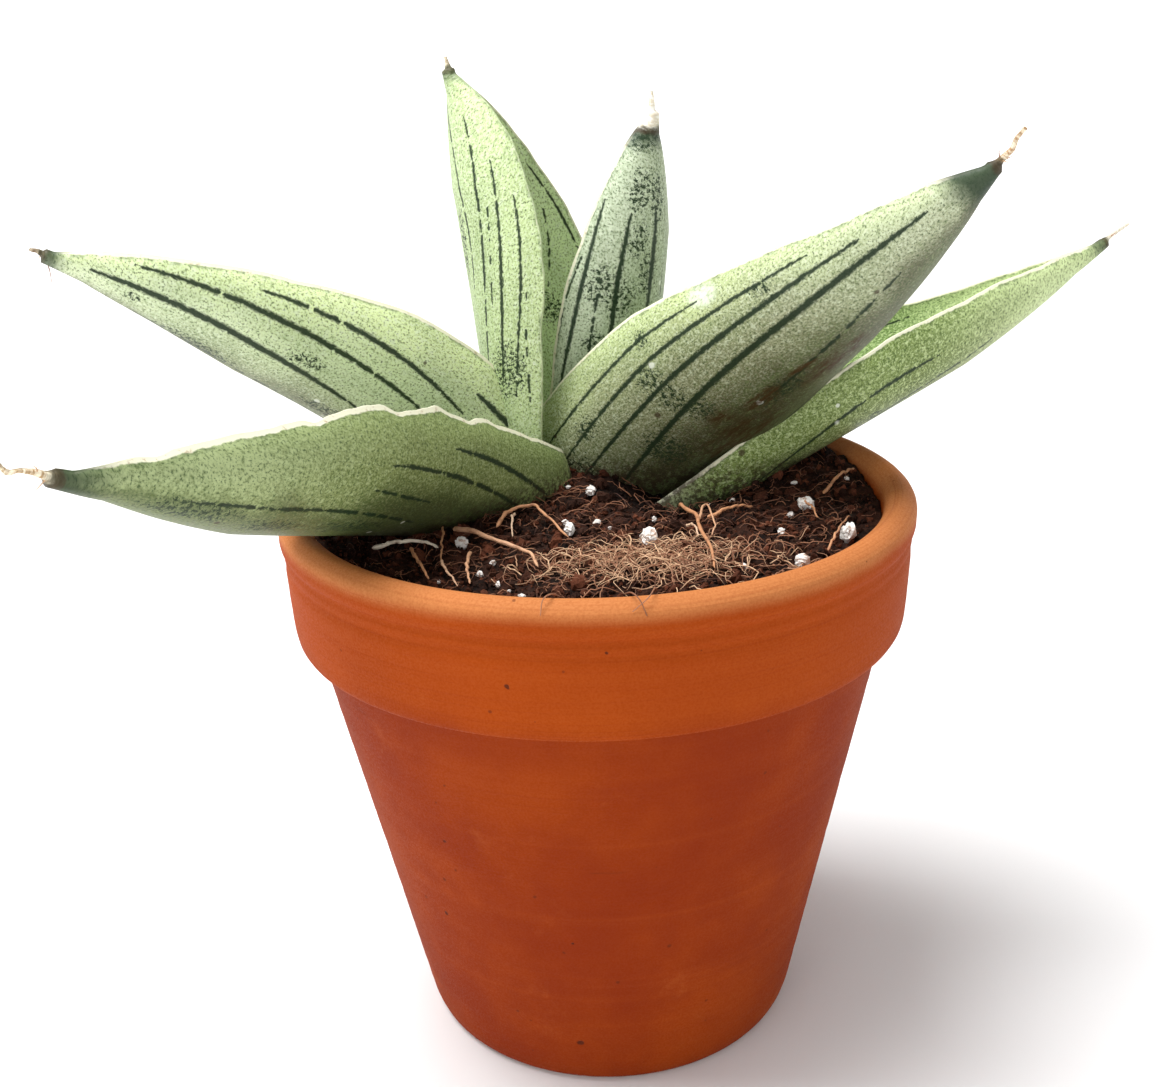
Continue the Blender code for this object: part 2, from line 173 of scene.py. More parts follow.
class Bench:
    """Adds shader nodes to one tree. An input is given a value or another node's output."""

    def __init__(self, tree):
        self.tree = tree

    def set(self, socket, value):
        if isinstance(value, bpy.types.NodeSocket):
            self.tree.links.new(value, socket)
        else:
            socket.default_value = value

    def add(self, kind, inputs=None, **settings):
        made = self.tree.nodes.new("ShaderNode" + kind)
        for key, value in settings.items():
            setattr(made, key, value)
        for key, value in (inputs or {}).items():
            self.set(made.inputs[key], value)
        return made

    def math(self, operation, *values):
        return self.add("Math", dict(enumerate(values)), operation=operation).outputs[0]

    def plus(self, first, second):
        return self.math("ADD", first, second)

    def less(self, first, second):
        return self.math("SUBTRACT", first, second)

    def times(self, product, *others):
        for value in others:
            product = self.math("MULTIPLY", product, value)
        return product

    def shaken(self, value, noise, reach):
        """The value moved either way by noise, by up to half of the reach."""
        return self.plus(value, self.math("MULTIPLY_ADD", noise, reach, -reach / 2))

    def ease(self, value, low, high, out_low=0.0, out_high=1.0):
        """The value carried smoothly from one range to another."""
        ranges = {"From Min": low, "From Max": high, "To Min": out_low, "To Max": out_high}
        made = self.add("MapRange", {"Value": value, **ranges}, interpolation_type="SMOOTHSTEP")
        return made.outputs[0]

    def stretch(self, place, scale, location=(0, 0, 0)):
        made = self.add("Mapping", {"Vector": place, "Scale": scale, "Location": location})
        return made.outputs[0]

    def noise(self, place, scale, detail=3.0, roughness=0.55):
        """Noise of one scale, or of a scale for each direction."""
        if isinstance(scale, tuple):
            place, scale = self.stretch(place, scale), 1.0
        values = {"Vector": place, "Scale": scale, "Detail": detail, "Roughness": roughness}
        return self.add("TexNoise", values).outputs["Fac"]

    def mix(self, share, first, second):
        """Two colours mixed, by a share that is kept from 0 to 1."""
        made = self.add("Mix", {0: share}, data_type="RGBA", clamp_factor=True)
        for place, value in ((6, first), (7, second)):
            self.set(made.inputs[place], (*value, 1.0) if isinstance(value, tuple) else value)
        return made.outputs[2]

    def coat(self, colour, tint, *masks):
        """The colour with a tint laid over it, as strongly as the product of the masks."""
        return self.mix(self.times(*masks), colour, tint)

    def mask(self, effect, **values):
        return self.add("Group", values, node_tree=effect).outputs["Mask"]

    def mark(self, key):
        return self.add("Attribute", attribute_name=key).outputs["Fac"]

    def place(self):
        return self.add("TexCoord").outputs["Object"]

    def point(self, x, y, z):
        return self.add("CombineXYZ", {0: x, 1: y, 2: z}).outputs[0]

    def bump(self, shader, height, distance, strength=1.0):
        made = self.add("Bump", {"Height": height, "Distance": distance, "Strength": strength})
        self.set(shader.inputs["Normal"], made.outputs[0])


def new_finish(name, roughness=0.6, **constants):
    """A material with one Principled shader, and a bench to add to it."""
    made = bpy.data.materials.new(name)
    made.use_nodes = True
    tree = made.node_tree
    shader = tree.nodes["Principled BSDF"]
    shader.inputs["Roughness"].default_value = roughness
    for key, value in constants.items():
        shader.inputs[key.replace("_", " ")].default_value = value
    return made, Bench(tree), shader


def new_effect(name, inputs):
    """An empty shader node group that puts out one mask. An input is a vector where its value is
    None, and otherwise a number."""
    group = bpy.data.node_groups.new(name, "ShaderNodeTree")
    for label, value in inputs.items():
        kind = "NodeSocketVector" if value is None else "NodeSocketFloat"
        socket = group.interface.new_socket(label, in_out="INPUT", socket_type=kind)
        if value is not None:
            socket.default_value = value
    group.interface.new_socket("Mask", in_out="OUTPUT", socket_type="NodeSocketFloat")
    given = group.nodes.new("NodeGroupInput").outputs
    mask = group.nodes.new("NodeGroupOutput").inputs["Mask"]
    return group, Bench(group), given, mask


def specks_effect():
    """Small scattered marks: a cell counts where its own random colour is low enough, and the
    mark fills the middle of the cell, its edge broken up by noise."""
    own = {"Place": None, "Cells": 300.0, "Share": 0.1, "Size": 0.3}
    group, bench, given, mask = new_effect("specks", own)
    place, cells = given["Place"], given["Cells"]
    wander = bench.add("TexNoise", {"Vector": place, "Scale": bench.times(cells, 3.0), "Detail": 2.0})
    push = {0: wander.outputs["Color"], "Scale": bench.math("DIVIDE", 0.16, cells)}
    pushed = bench.add("VectorMath", push, operation="SCALE")
    moved = bench.add("VectorMath", {0: place, 1: pushed.outputs[0]}, operation="ADD")
    dots = bench.add("TexVoronoi", {"Vector": moved.outputs[0], "Scale": cells}).outputs
    tone = bench.add("SeparateColor", {"Color": dots["Color"]}).outputs
    chosen = bench.math("LESS_THAN", tone["Red"], given["Share"])
    size = bench.times(given["Size"], bench.plus(tone["Green"], 0.4))
    mark = bench.ease(dots["Distance"], size, bench.times(size, 0.6))
    bench.set(mask, bench.times(mark, chosen))
    return group


specks = specks_effect()


def specks_on(bench, place, cells, share, size):
    """The specks effect placed in a finish, with its own values."""
    return bench.mask(specks, Place=place, Cells=cells, Share=share, Size=size)


def clay_finish():
    """Fired clay: orange clouded with brown, paler on the collar, fine rings, grains and specks; a painted
    highlight on the rim top and painted shade under the collar.
    """
    finish, bench, shader = new_finish("fired_clay", 0.72, Specular_IOR_Level=0.1)
    place = bench.place()
    around = bench.add("UVMap", uv_map="surface").outputs["UV"]
    height = bench.add("SeparateXYZ", {"Vector": place}).outputs["Z"]
    clouds = bench.noise(place, 26.0, 4.0, 0.6)
    colour = bench.mix(bench.ease(clouds, 0.35, 0.68), (0.205, 0.021, 0.0003), (0.275, 0.038, 0.0005))
    collar = bench.ease(bench.plus(height, bench.times(clouds, 0.006)), 0.0845, 0.0925)
    colour = bench.coat(colour, (0.37, 0.060, 0.0020), collar, 0.65)
    # painted highlight: the rounded top of the rim is coated a pale orange, as where the lamp above lights it
    lip = bench.ease(bench.plus(height, bench.times(clouds, 0.003)), 0.1060, 0.1092)
    colour = bench.coat(colour, (0.56, 0.235, 0.080), lip, 0.66)
    rings = bench.noise(around, (9.0, 1500.0, 1.0), 3.0, 0.7)
    colour = bench.mix(bench.ease(rings, 0.50, 0.74, 0.0, 0.36), colour, (0.22, 0.026, 0.0015))
    wide_rings = bench.noise(bench.stretch(around, (5.0, 260.0, 1.0), (3.0, 1.0, 0.0)), 1.0, 2.0)
    colour = bench.mix(bench.ease(wide_rings, 0.5, 0.8, 0.0, 0.09), colour, (0.52, 0.115, 0.014))
    bloom = bench.noise(place, 60.0, 5.0, 0.65)
    colour = bench.mix(bench.ease(bloom, 0.60, 0.80, 0.0, 0.22), colour, (0.55, 0.16, 0.04))
    grain = bench.noise(place, 2600.0, 2.0)
    colour = bench.mix(bench.ease(grain, 0.35, 0.7, 0.0, 0.22), colour, (0.20, 0.022, 0.001))
    pits = specks_on(bench, place, 130.0, 0.30, 0.075)
    colour = bench.coat(colour, (0.045, 0.010, 0.004), pits, 0.8)
    dots = specks_on(bench, place, 420.0, 0.05, 0.16)
    colour = bench.coat(colour, (0.085, 0.014, 0.003), dots, 0.6)
    grazes = specks_on(bench, bench.stretch(place, (1.0, 1.0, 0.22)), 70.0, 0.09, 0.06)
    colour = bench.coat(colour, (0.06, 0.012, 0.003), grazes, 0.75)
    smear = bench.ease(bench.noise(around, (34.0, 300.0, 1.0), 4.0, 0.7), 0.60, 0.72)
    smeared = bench.ease(bench.noise(place, 34.0, 1.0), 0.58, 0.72)
    colour = bench.coat(colour, (0.13, 0.018, 0.002), smear, smeared, 0.6)
    # painted shade: a darker band on the body just below the collar, where the collar's overhang shades it
    under_collar_shade = bench.times(bench.ease(height, 0.0846, 0.0820), bench.ease(height, 0.0740, 0.0820))
    colour = bench.coat(colour, (0.19, 0.020, 0.001), under_collar_shade, 0.35)
    bench.set(shader.inputs["Base Color"], colour)
    rough = bench.ease(grain, 0.3, 0.7, 0.62, 0.86)
    bench.set(shader.inputs["Roughness"], rough)
    relief = bench.plus(bench.times(rings, 0.5), bench.times(grain, 0.35))
    relief = bench.less(relief, bench.times(pits, 0.8))
    bench.bump(shader, relief, 0.00016, 0.7)
    return finish


def make_pot():
    """The section swept round the axis. Its radius falls by the finger rings, which are noise
    along the section, and by a slow wave round the pot, so it never stands out past the rim."""
    section, length = rounded_section(POT_CORNERS, CLAY_RINGS)
    walk = np.arange(CLAY_RINGS + 1) * length / CLAY_RINGS * MM
    turn = np.linspace(0, TAU, CLAY_TURN + 1)
    radius, height = section[:, :1], section[:, 1:]
    a = turn[None, :-1]
    fingers = 0.05 * drift(height / 0.9, a * 1.3 + 0 * height, 3)
    fingers += 0.07 * drift(height / 2.6, a * 0.9 + 0 * height, 4)
    wave = 0.10 * (1 + np.sin(2 * a + 0.05 * height)) / 2
    outer = np.clip((radius - 30) / 6, 0, 1)
    worn = np.minimum(radius, RIM_RADIUS / MM) - outer * (np.abs(fingers) + wave)
    worn = np.where(height < 0.05, radius, worn)
    level = np.clip(height, 0, POT_HEIGHT / MM) + 0 * a
    points = np.stack([worn * np.cos(a), worn * np.sin(a), level], axis=-1) * MM + AXIS
    mesh = sheet_mesh("clay_pot", points, (walk, turn * 45 * MM), wrap_rows=True)
    # the UV map runs round the pot in its first coordinate and down the section in its second
    layer = mesh.uv_layers["surface"].data
    uv = np.empty(len(layer) * 2, np.float32)
    layer.foreach_get("uv", uv)
    layer.foreach_set("uv", uv.reshape(-1, 2)[:, ::-1].ravel())
    return show("clay_pot", mesh, clay_finish(), "clay", "terracotta_pot")


make_pot()

# --- Potting soil -----------------------------------------------------------------------------
# Dark peaty soil pressed in by hand: it fills the pot, stands against the feet of the leaves and
# lies in crumbs of every size, with bark and peat fibres and a mat of pale coir at the front.

SOIL_LEVEL = 105.2
# Hills and hollows in the surface: x, y from the pot's axis, spread and height in millimetres
SOIL_RELIEF = (
    (50, 26, 12, 2.8), (3, 17, 8, 4.5), (16, 8, 7, -5.5), (-24, -8, 10, 1.2), (14, -34, 12, 1.2),
    (-36, -26, 9, -1.5),
)
SOIL_CELLS = 196
SOIL_FOOT_RADIUS = 33.5
SOIL_FOOT = 6.9
MOUTH = 53.6
# The middle of a painted shadow on the soil, in the hollow under the right front leaf
SHADED_HOLLOW = AXIS + np.array([15.0, 8.0, 101.0]) * MM


def soil_height(x, y):
    """The level plus one bell curve for each hill or hollow, in millimetres."""
    height = np.full(np.shape(x), SOIL_LEVEL, float)
    for hill_x, hill_y, spread, rise in SOIL_RELIEF:
        height = height + rise * np.exp(-((x - hill_x) ** 2 + (y - hill_y) ** 2) / (2 * spread**2))
    return height


def crumbly(x, y):
    """The broad height plus noise of three sizes, folded upward so that lumps stand on cracks."""
    lumps = 0.9 * (1 - np.abs(drift(x / 4.2, y / 4.2, 21)))
    lumps = lumps + 0.6 * (1 - np.abs(drift(x / 1.9, y / 1.9, 22)))
    return soil_height(x, y) - 1.6 + lumps + 0.35 * drift(x / 0.8, y / 0.8, 23)


def soil_finish():
    """Near-black peat with reddish brown crumbs, each crumb toned by its own mark, and a painted shadow in
    the hollow under the right front leaf.
    """
    finish, bench, shader = new_finish("damp_soil", 0.92, Specular_IOR_Level=0.12)
    place = bench.place()
    tone = bench.mark("tone")
    dirt = bench.noise(place, 420.0, 4.0, 0.65)
    colour = bench.mix(bench.ease(dirt, 0.36, 0.66), (0.0045, 0.0024, 0.0018), (0.040, 0.0160, 0.0100))
    colour = bench.coat(colour, (0.165, 0.052, 0.026), tone, 0.85)
    fine = bench.noise(place, 2600.0, 3.0, 0.6)
    colour = bench.mix(bench.ease(fine, 0.55, 0.75, 0.0, 0.30), colour, (0.15, 0.066, 0.042))
    colour = bench.mix(bench.ease(fine, 0.46, 0.3, 0.0, 0.6), colour, (0.005, 0.003, 0.002))
    # painted shadow: the soil turns near black within about 21 mm of the hollow under the right front leaf
    shaded_hollow_distance = bench.add("VectorMath", {0: place, 1: tuple(SHADED_HOLLOW)}, operation="DISTANCE").outputs["Value"]
    colour = bench.mix(bench.ease(shaded_hollow_distance, 0.021, 0.009, 0.0, 0.85), colour, (0.0025, 0.0015, 0.001))
    bench.set(shader.inputs["Base Color"], colour)
    bench.set(shader.inputs["Roughness"], bench.ease(fine, 0.3, 0.7, 0.78, 1.0))
    height = bench.plus(bench.times(dirt, 1.0), bench.times(fine, 0.35))
    bench.bump(shader, height, 0.0008, 0.8)
    return finish


damp_soil = soil_finish()


def make_soil():
    """A square grid drawn onto a disc, x sqrt(1 - y^2/2) by y sqrt(1 - x^2/2), once for the rough
    top and once, mirrored and smaller, for the flat foot, joined round the edge."""
    side = np.linspace(-1, 1, SOIL_CELLS + 1)
    sx, sy = np.meshgrid(side, side, indexing="ij")
    x, y = sx * np.sqrt(1 - sy**2 / 2), sy * np.sqrt(1 - sx**2 / 2)
    top = np.stack([x * MOUTH, y * MOUTH, crumbly(x * MOUTH, y * MOUTH)], axis=-1)
    foot = np.stack([x * SOIL_FOOT_RADIUS, y * SOIL_FOOT_RADIUS, np.full_like(x, SOIL_FOOT)], axis=-1)
    count = (SOIL_CELLS + 1) ** 2
    ids = np.arange(count).reshape(x.shape)
    upper = np.stack([ids[:-1, :-1], ids[1:, :-1], ids[1:, 1:], ids[:-1, 1:]], axis=-1).reshape(-1, 4)
    edge = np.concatenate([ids[0, :-1], ids[:-1, -1], ids[-1, :0:-1], ids[:0:-1, 0]])
    after = np.roll(edge, -1)
    wall = np.stack([edge, after, after + count, edge + count], axis=1)
    faces = np.vstack([upper, upper[:, ::-1] + count, wall])
    patches = np.clip(drift(x * 9, y * 9, 31).ravel() * 0.3, 0, 1)
    points = np.stack([top, foot]) * MM + AXIS
    mesh = new_mesh("soil", points, faces.tolist(), {"tone": np.tile(patches, 2)})
    return show("soil", mesh, damp_soil, "soil", "potting_soil")


make_soil()


def lump_body(rings, around):
    """Corners and triangles of a round body of radius one: rings of points at even angles between
    two poles, joined by fans at the poles and by split squares between."""
    tilt = np.linspace(0, math.pi, rings + 2)[1:-1, None]
    turn = np.arange(around)[None] * TAU / around + tilt * 0.7
    out = np.sin(tilt)
    wall = np.stack([out * np.cos(turn), out * np.sin(turn), np.cos(tilt) + 0 * turn], axis=-1)
    corners = np.vstack([[[0, 0, 1]], wall.reshape(-1, 3), [[0, 0, -1]]])
    ids = 1 + np.arange(rings * around).reshape(rings, around)
    after = np.roll(ids, -1, axis=1)
    top = np.stack([0 * ids[0], ids[0], after[0]], axis=1)
    foot = np.stack([0 * ids[0] + len(corners) - 1, after[-1], ids[-1]], axis=1)
    one = np.stack([ids[:-1], ids[1:], after[1:]], axis=-1).reshape(-1, 3)
    two = np.stack([ids[:-1], after[1:], after[:-1]], axis=-1).reshape(-1, 3)
    return corners, np.vstack([top, one, two, foot])


def lumps_mesh(name, rng, centres, sizes, body, tone, rough=0.28):
    """Copies of one body, each turned by the Q of a random matrix, squashed along its own axes
    and with every corner pushed in or out by a random share of its size."""
    corners, faces = body
    count = len(sizes)
    squash = rng.uniform(0.6, 1.25, (count, 1, 3))
    push = 1 + rng.uniform(-rough, rough, (count, len(corners), 1))
    turns = np.linalg.qr(rng.normal(size=(count, 3, 3)))[0]
    turns[:, :, 0] *= np.sign(np.linalg.det(turns))[:, None]
    shapes = np.einsum("cij,ckj->cki", turns, corners[None] * push * squash * (sizes[:, None, None] / 2))
    points = (shapes + centres[:, None]) * MM + AXIS
    ids = (faces[None] + np.arange(count)[:, None, None] * len(corners)).reshape(-1, 3)
    return new_mesh(name, points, ids.tolist(), {"tone": np.repeat(tone, len(corners))}, smooth=False)


def scatter(rng, count, reach):
    """Places spread evenly over a disc: a random turn, and reach times the root of a share."""
    turn = rng.uniform(0, TAU, count)
    out = reach * np.sqrt(rng.uniform(0, 1, count))
    return out * np.cos(turn), out * np.sin(turn)


def make_crumbs(name, seed, count, low, high, sink, body):
    """Crumbs of soil, more of them small than large, sunk into the surface by part of their size."""
    rng = np.random.default_rng(seed)
    x, y = scatter(rng, count, 52.2)
    sizes = low + (high - low) * rng.uniform(0, 1, count) ** 3
    centres = np.stack([x, y, crumbly(x, y) + sizes * sink], axis=1)
    tone = rng.uniform(0, 1, count) ** 2.2
    show(name, lumps_mesh(name, rng, centres, sizes, body, tone), damp_soil, "soil")


make_crumbs("soil_crumbs_large", 41, 620, 1.3, 3.4, 0.12, lump_body(4, 7))
make_crumbs("soil_crumbs_small", 42, 8000, 0.4, 1.6, 0.24, lump_body(2, 5))


def tube_mesh(name, paths, radii, sides, tone):
    """Round tubes along many paths of equally many points, closed at both ends by a flat face.

    The ring directions are the path's own direction crossed with a fixed up, and crossed again.
    """
    count, steps = paths.shape[:2]
    ahead = np.gradient(paths, axis=1)
    ahead /= np.linalg.norm(ahead, axis=-1, keepdims=True) + 1e-12
    across = np.cross(ahead, [0.13, 0.21, 0.97])
    across /= np.linalg.norm(across, axis=-1, keepdims=True) + 1e-12
    lift = np.cross(across, ahead)
    turn = np.arange(sides) * TAU / sides
    ring = across[:, :, None] * np.cos(turn)[:, None] + lift[:, :, None] * np.sin(turn)[:, None]
    points = paths[:, :, None] + ring * radii[:, :, None, None]
    ids = np.arange(count * steps * sides).reshape(count, steps, sides)
    after = np.roll(ids, -1, axis=2)
    wall = np.stack([ids[:, :-1], after[:, :-1], after[:, 1:], ids[:, 1:]], axis=-1).reshape(-1, 4)
    faces = wall.tolist() + ids[:, 0, ::-1].tolist() + ids[:, -1].tolist()
    return new_mesh(name, points * MM + AXIS, faces, {"tone": np.repeat(tone, steps * sides)})


def wandering(rng, x, y, lengths, steps, curl):
    """Paths in plan that set off any way and turn by a random walk, pulled in where they pass 52.6 mm from
    the axis.
    """
    count = len(x)
    heading = rng.uniform(0, TAU, count)[:, None] + np.cumsum(rng.normal(0, curl, (count, steps)), axis=1)
    stride = (lengths / steps)[:, None]
    px = x[:, None] + np.cumsum(np.cos(heading) * stride, axis=1)
    py = y[:, None] + np.cumsum(np.sin(heading) * stride, axis=1)
    far = np.maximum(np.hypot(px, py) / 52.6, 1)
    return px / far, py / far


def make_fibres(name, seed, places, count, length, thick, lift, colour_range):
    """Fibres that lie on the soil, each arched clear of it by a random part of its lift."""
    rng = np.random.default_rng(seed)
    x, y = places(rng, count)
    lengths = rng.uniform(*length, count)
    px, py = wandering(rng, x, y, lengths, 9, 0.42)
    arch = np.sin(np.linspace(0.1, math.pi - 0.1, 9))[None]
    pz = soil_height(px, py) + 0.15 + lift * rng.uniform(0, 1, (count, 1)) * arch
    pz = pz + rng.normal(0, 0.12, px.shape)
    radii = rng.uniform(*thick, (count, 1)) / 2 * (1 - 0.55 * np.linspace(0, 1, 9))[None]
    tone = rng.uniform(*colour_range, count)
    mesh = tube_mesh(name, np.stack([px, py, pz], axis=-1), radii, 4, tone)
    return show(name, mesh, fibre, "root")


def fibre_finish():
    """Peat and coir fibre: from red-brown to straw, by each fibre's own mark."""
    finish, bench, shader = new_finish("fibre", 0.75)
    place = bench.place()
    tone = bench.mark("tone")
    colour = bench.mix(bench.ease(tone, 0.0, 0.5), (0.060, 0.018, 0.009), (0.30, 0.125, 0.062))
    colour = bench.mix(bench.ease(tone, 0.5, 1.0), colour, (0.70, 0.45, 0.27))
    shade = bench.noise(place, 700.0, 3.0)
    colour = bench.mix(bench.ease(shade, 0.5, 0.75, 0.0, 0.55), colour, (0.10, 0.04, 0.02))
    bench.set(shader.inputs["Base Color"], colour)
    return finish


fibre = fibre_finish()


def peat_places(rng, count):
    """Anywhere on the soil inside the rim."""
    return scatter(rng, count, 50.0)


make_fibres("peat_fibres", 51, peat_places, 900, (2.0, 8.0), (0.10, 0.26), 1.3, (0.0, 0.55))


def coir_places(rng, count):
    """A loose patch at the front of the pot, by two bell curves."""
    return 9 + rng.normal(0, 10.0, count), -35 + rng.normal(0, 4.6, count)


make_fibres("coir_mat", 52, coir_places, 560, (3.0, 10.0), (0.12, 0.28), 2.0, (0.30, 1.0))

# --- Rootstock --------------------------------------------------------------------------------
# The thick creeping stem that the leaves and roots grow from, buried in the soil. It is pale and
# corky, ringed with the scars of old scales.


def rootstock_finish():
    """Cream cork with brown rings, which are noise stretched flat across its length."""
    finish, bench, shader = new_finish("corky_rootstock", 0.8)
    place = bench.place()
    rings = bench.noise(place, (900.0, 140.0, 140.0), 4.0, 0.6)
    colour = bench.mix(bench.ease(rings, 0.42, 0.62), (0.30, 0.17, 0.075), (0.62, 0.46, 0.25))
    bench.set(shader.inputs["Base Color"], colour)
    bench.bump(shader, rings, 0.0005)
    return finish


frame["nodes"]["rootstock"].material_slots[0].material = rootstock_finish()

# --- Leaves -----------------------------------------------------------------------------------
# Six thick leaves grown from the rootstock, each a stiff channel that tapers to a dry spine. The
# skin is silvery green with dark dashed streaks, a pale horny margin and a mealy bloom.

LEAF_THICKNESS = 4.8
MARGIN_THICKNESS = 0.55
TIP_SHARE = 0.06
SHEATH_NARROWING = 0.4
WAIST_FROM = 0.91
SPINE_WAIST = 0.16
LEAF_STATIONS = 15
BLADE_ROWS = 176
SPINE_ROWS = 16
SHEATH_ROWS = 8
FACE_COLUMNS = 60
MARGIN_COLUMNS = 5


def ramp(ends, share):
    """A value that goes evenly from one end to the other."""
    return ends[0] + (ends[1] - ends[0]) * share


def leaf_design(shape):
    """The midrib and directions of a leaf at its fifteen design stations.

    The midrib walks on from the foot along its heading and pitch; the pitch is the parabola
    through its three values. The side and face directions are turned about it by the roll.
    """
    along = np.linspace(0.0, 1.0, LEAF_STATIONS)
    heading = np.radians(shape["heading"] + shape["swing"] * along)
    low, middle, high = np.radians(shape["pitch"])
    pitch = low * (1 - along) * (1 - 2 * along) + middle * 4 * along * (1 - along)
    pitch += high * along * (2 * along - 1)
    level_out = np.cos(pitch)
    ahead = np.stack([level_out * np.cos(heading), level_out * np.sin(heading), np.sin(pitch)], axis=1)
    steps = np.cumsum((ahead[1:] + ahead[:-1]) / 2, axis=0) * shape["length"] / (LEAF_STATIONS - 1)
    rib = np.array(shape["foot"]) + np.vstack([np.zeros(3), steps])
    level = np.cross(ahead, [0.0, 0.0, 1.0])
    level /= np.linalg.norm(level, axis=1, keepdims=True)
    upward = np.cross(level, ahead)
    roll = np.radians(ramp(shape["roll"], along))[:, None]
    side = np.cos(roll) * level + np.sin(roll) * upward
    face = np.cos(roll) * upward - np.sin(roll) * level
    return rib, ahead, side, face


def smooth_rows(values, at):
    """Values at even stations carried to any places between by a Catmull-Rom spline."""
    padded = np.vstack([2 * values[0] - values[1], values, 2 * values[-1] - values[-2]])
    place = np.clip(at, 0, 1) * (len(values) - 1)
    low = np.minimum(place.astype(int), len(values) - 2)
    t = (place - low)[:, None]
    p0, p1, p2, p3 = (padded[low + k] for k in range(4))
    curved = 2 * p1 + (p2 - p0) * t + (2 * p0 - 5 * p1 + 4 * p2 - p3) * t**2
    return 0.5 * (curved + (3 * (p1 - p2) + p3 - p0) * t**3)


def make_leaf(name, shape, finish):
    """A closed loft: its sections are an arc for the channel, a round margin, the back standing
    off by the thickness m + b(1 - |u|^2.5), and the other margin. The width grows as a quarter
    sine to the broadest place, then falls as (1 - q^k)^e. Noise makes the margins wavy and the
    skin faintly ribbed; the dry spine shrinks, bends and wrinkles."""
    rib, ahead, side, face = leaf_design(shape)
    before = np.linspace(1, 0, SHEATH_ROWS + 1)[:-1]
    blade = np.linspace(0, 1, BLADE_ROWS + 1)
    beyond = np.linspace(0, 1, SPINE_ROWS + 1)[1:]
    station = np.concatenate([-before, blade, 1 + beyond])
    s = np.clip(station, 0, 1)
    buried = np.clip(-station, 0, 1)
    dried = np.clip(station - 1, 0, 1)
    past = dried[:, None]
    rows_rib = smooth_rows(rib, s) - buried[:, None] * shape["sheath"] * ahead[0]
    rows_rib = rows_rib + past * shape["spine"] * ahead[-1]
    rows_side = smooth_rows(side, s)
    rows_side /= np.linalg.norm(rows_side, axis=1, keepdims=True)
    rows_face = smooth_rows(face, s)
    rows_face -= rows_side * (rows_face * rows_side).sum(axis=1, keepdims=True)
    rows_face /= np.linalg.norm(rows_face, axis=1, keepdims=True)
    broadest, base = shape["broadest"], shape["base"]
    power, ease = shape["taper"]
    rising = base + (1 - base) * np.sin(np.pi / 2 * np.clip(s / broadest, 0, 1))
    falling = (1 - np.clip((s - broadest) / (1 - broadest), 0, 1) ** power) ** ease
    share = np.maximum(np.where(s < broadest, rising, falling), TIP_SHARE)
    waist = np.clip((station - WAIST_FROM) / (1 + SPINE_WAIST - WAIST_FROM), 0, 1)
    fading = 1 - shape["pinch"] * waist**2 * (3 - 2 * waist) - (0.95 - shape["pinch"]) * dried
    half = shape["width"] / 2 * share * (1 - SHEATH_NARROWING * buried) * fading
    fold = np.radians(ramp(shape["fold"], s))
    body = (LEAF_THICKNESS - MARGIN_THICKNESS) * np.clip(1.3 * share, 0.3, 1.0) * fading
    margin = MARGIN_THICKNESS * (1 - 0.55 * waist) * (1 - 0.4 * dried)

    even = np.linspace(-1, 1, FACE_COLUMNS + 1)
    face_u = even * (1.35 - 0.35 * even**2)
    round_by = np.linspace(-np.pi / 2, np.pi / 2, MARGIN_COLUMNS + 2)[1:-1]
    ones = np.ones(MARGIN_COLUMNS)
    across = np.concatenate([face_u, ones, face_u[::-1], -ones])[None]
    # 0 on the channel, 1 on the back; the margins pass between on a half circle
    lip = np.sin(round_by)
    outward = np.concatenate([0 * face_u, (1 + lip) / 2, 0 * face_u + 1, (1 - lip) / 2])[None]
    bulge = np.concatenate([0 * face_u, np.cos(round_by), 0 * face_u, -np.cos(round_by)])[None]

    radius = (half / fold)[:, None]
    depth = margin[:, None] + body[:, None] * (1 - np.abs(across) ** 2.5)
    bend = across * fold[:, None] + bulge * (margin[:, None] / 2) / radius
    seed = shape["seed"]
    run = (s * shape["length"] + dried * shape["spine"] - buried * shape["sheath"])[:, None]
    near_edge = np.abs(across) ** 6
    wave = 0.55 * drift(run / 9.0, 3 * across + 7, seed) + 0.25 * drift(run / 3.1, 2 * across, seed + 1)
    wave = near_edge * shape["wave"] * wave * np.clip(half[:, None] / 8, 0, 1)
    wave = wave * np.clip(station[:, None] * 6, 0, 1)
    aside = across * half[:, None]
    ribs = 0.05 * drift(aside / 1.5 + 30, run / 45, seed + 2)
    ribs += 0.07 * drift(aside / 5 + 30, run / 14, seed + 3)
    shrivel = past**0.5 * 0.22 * drift(across * 3 + 9, run / 1.2, seed + 4)
    rise = outward * depth + (2 * outward - 1) * ribs * (1 - near_edge) + (outward - 0.5) * 2 * shrivel
    out = rows_side[:, None] * np.sin(bend)[..., None] - rows_face[:, None] * np.cos(bend)[..., None]
    points = rows_rib[:, None] + radius[..., None] * rows_face[:, None] + out * (radius + rise)[..., None]
    points = points + rows_face[:, None] * wave[..., None]
    waver = np.stack([drift(run[:, 0] / 2.2, 0 * s + k, seed + 5) for k in (2, 6)], axis=1)
    bow = past * (1 - 0.6 * past) * waver
    points = points + (bow[:, :1] * rows_side + bow[:, 1:] * rows_face)[:, None]
    points = points * MM + AXIS
    marks = {
        "across": across + 0 * run, "along": run / shape["length"] + 0 * across,
        "half": half[:, None] + 0 * across, "back": outward + 0 * run,
    }
    columns = np.linspace(0, 1, across.shape[1] + 1)
    mesh = sheet_mesh(name, points, (station, columns), caps=True, marks=marks)
    return show(name, mesh, finish, "leaf", shape["node"])


LEAF_PLACE = {"Across": 0.0, "Along": 0.0, "Half": 10.0, "Length": 100.0}


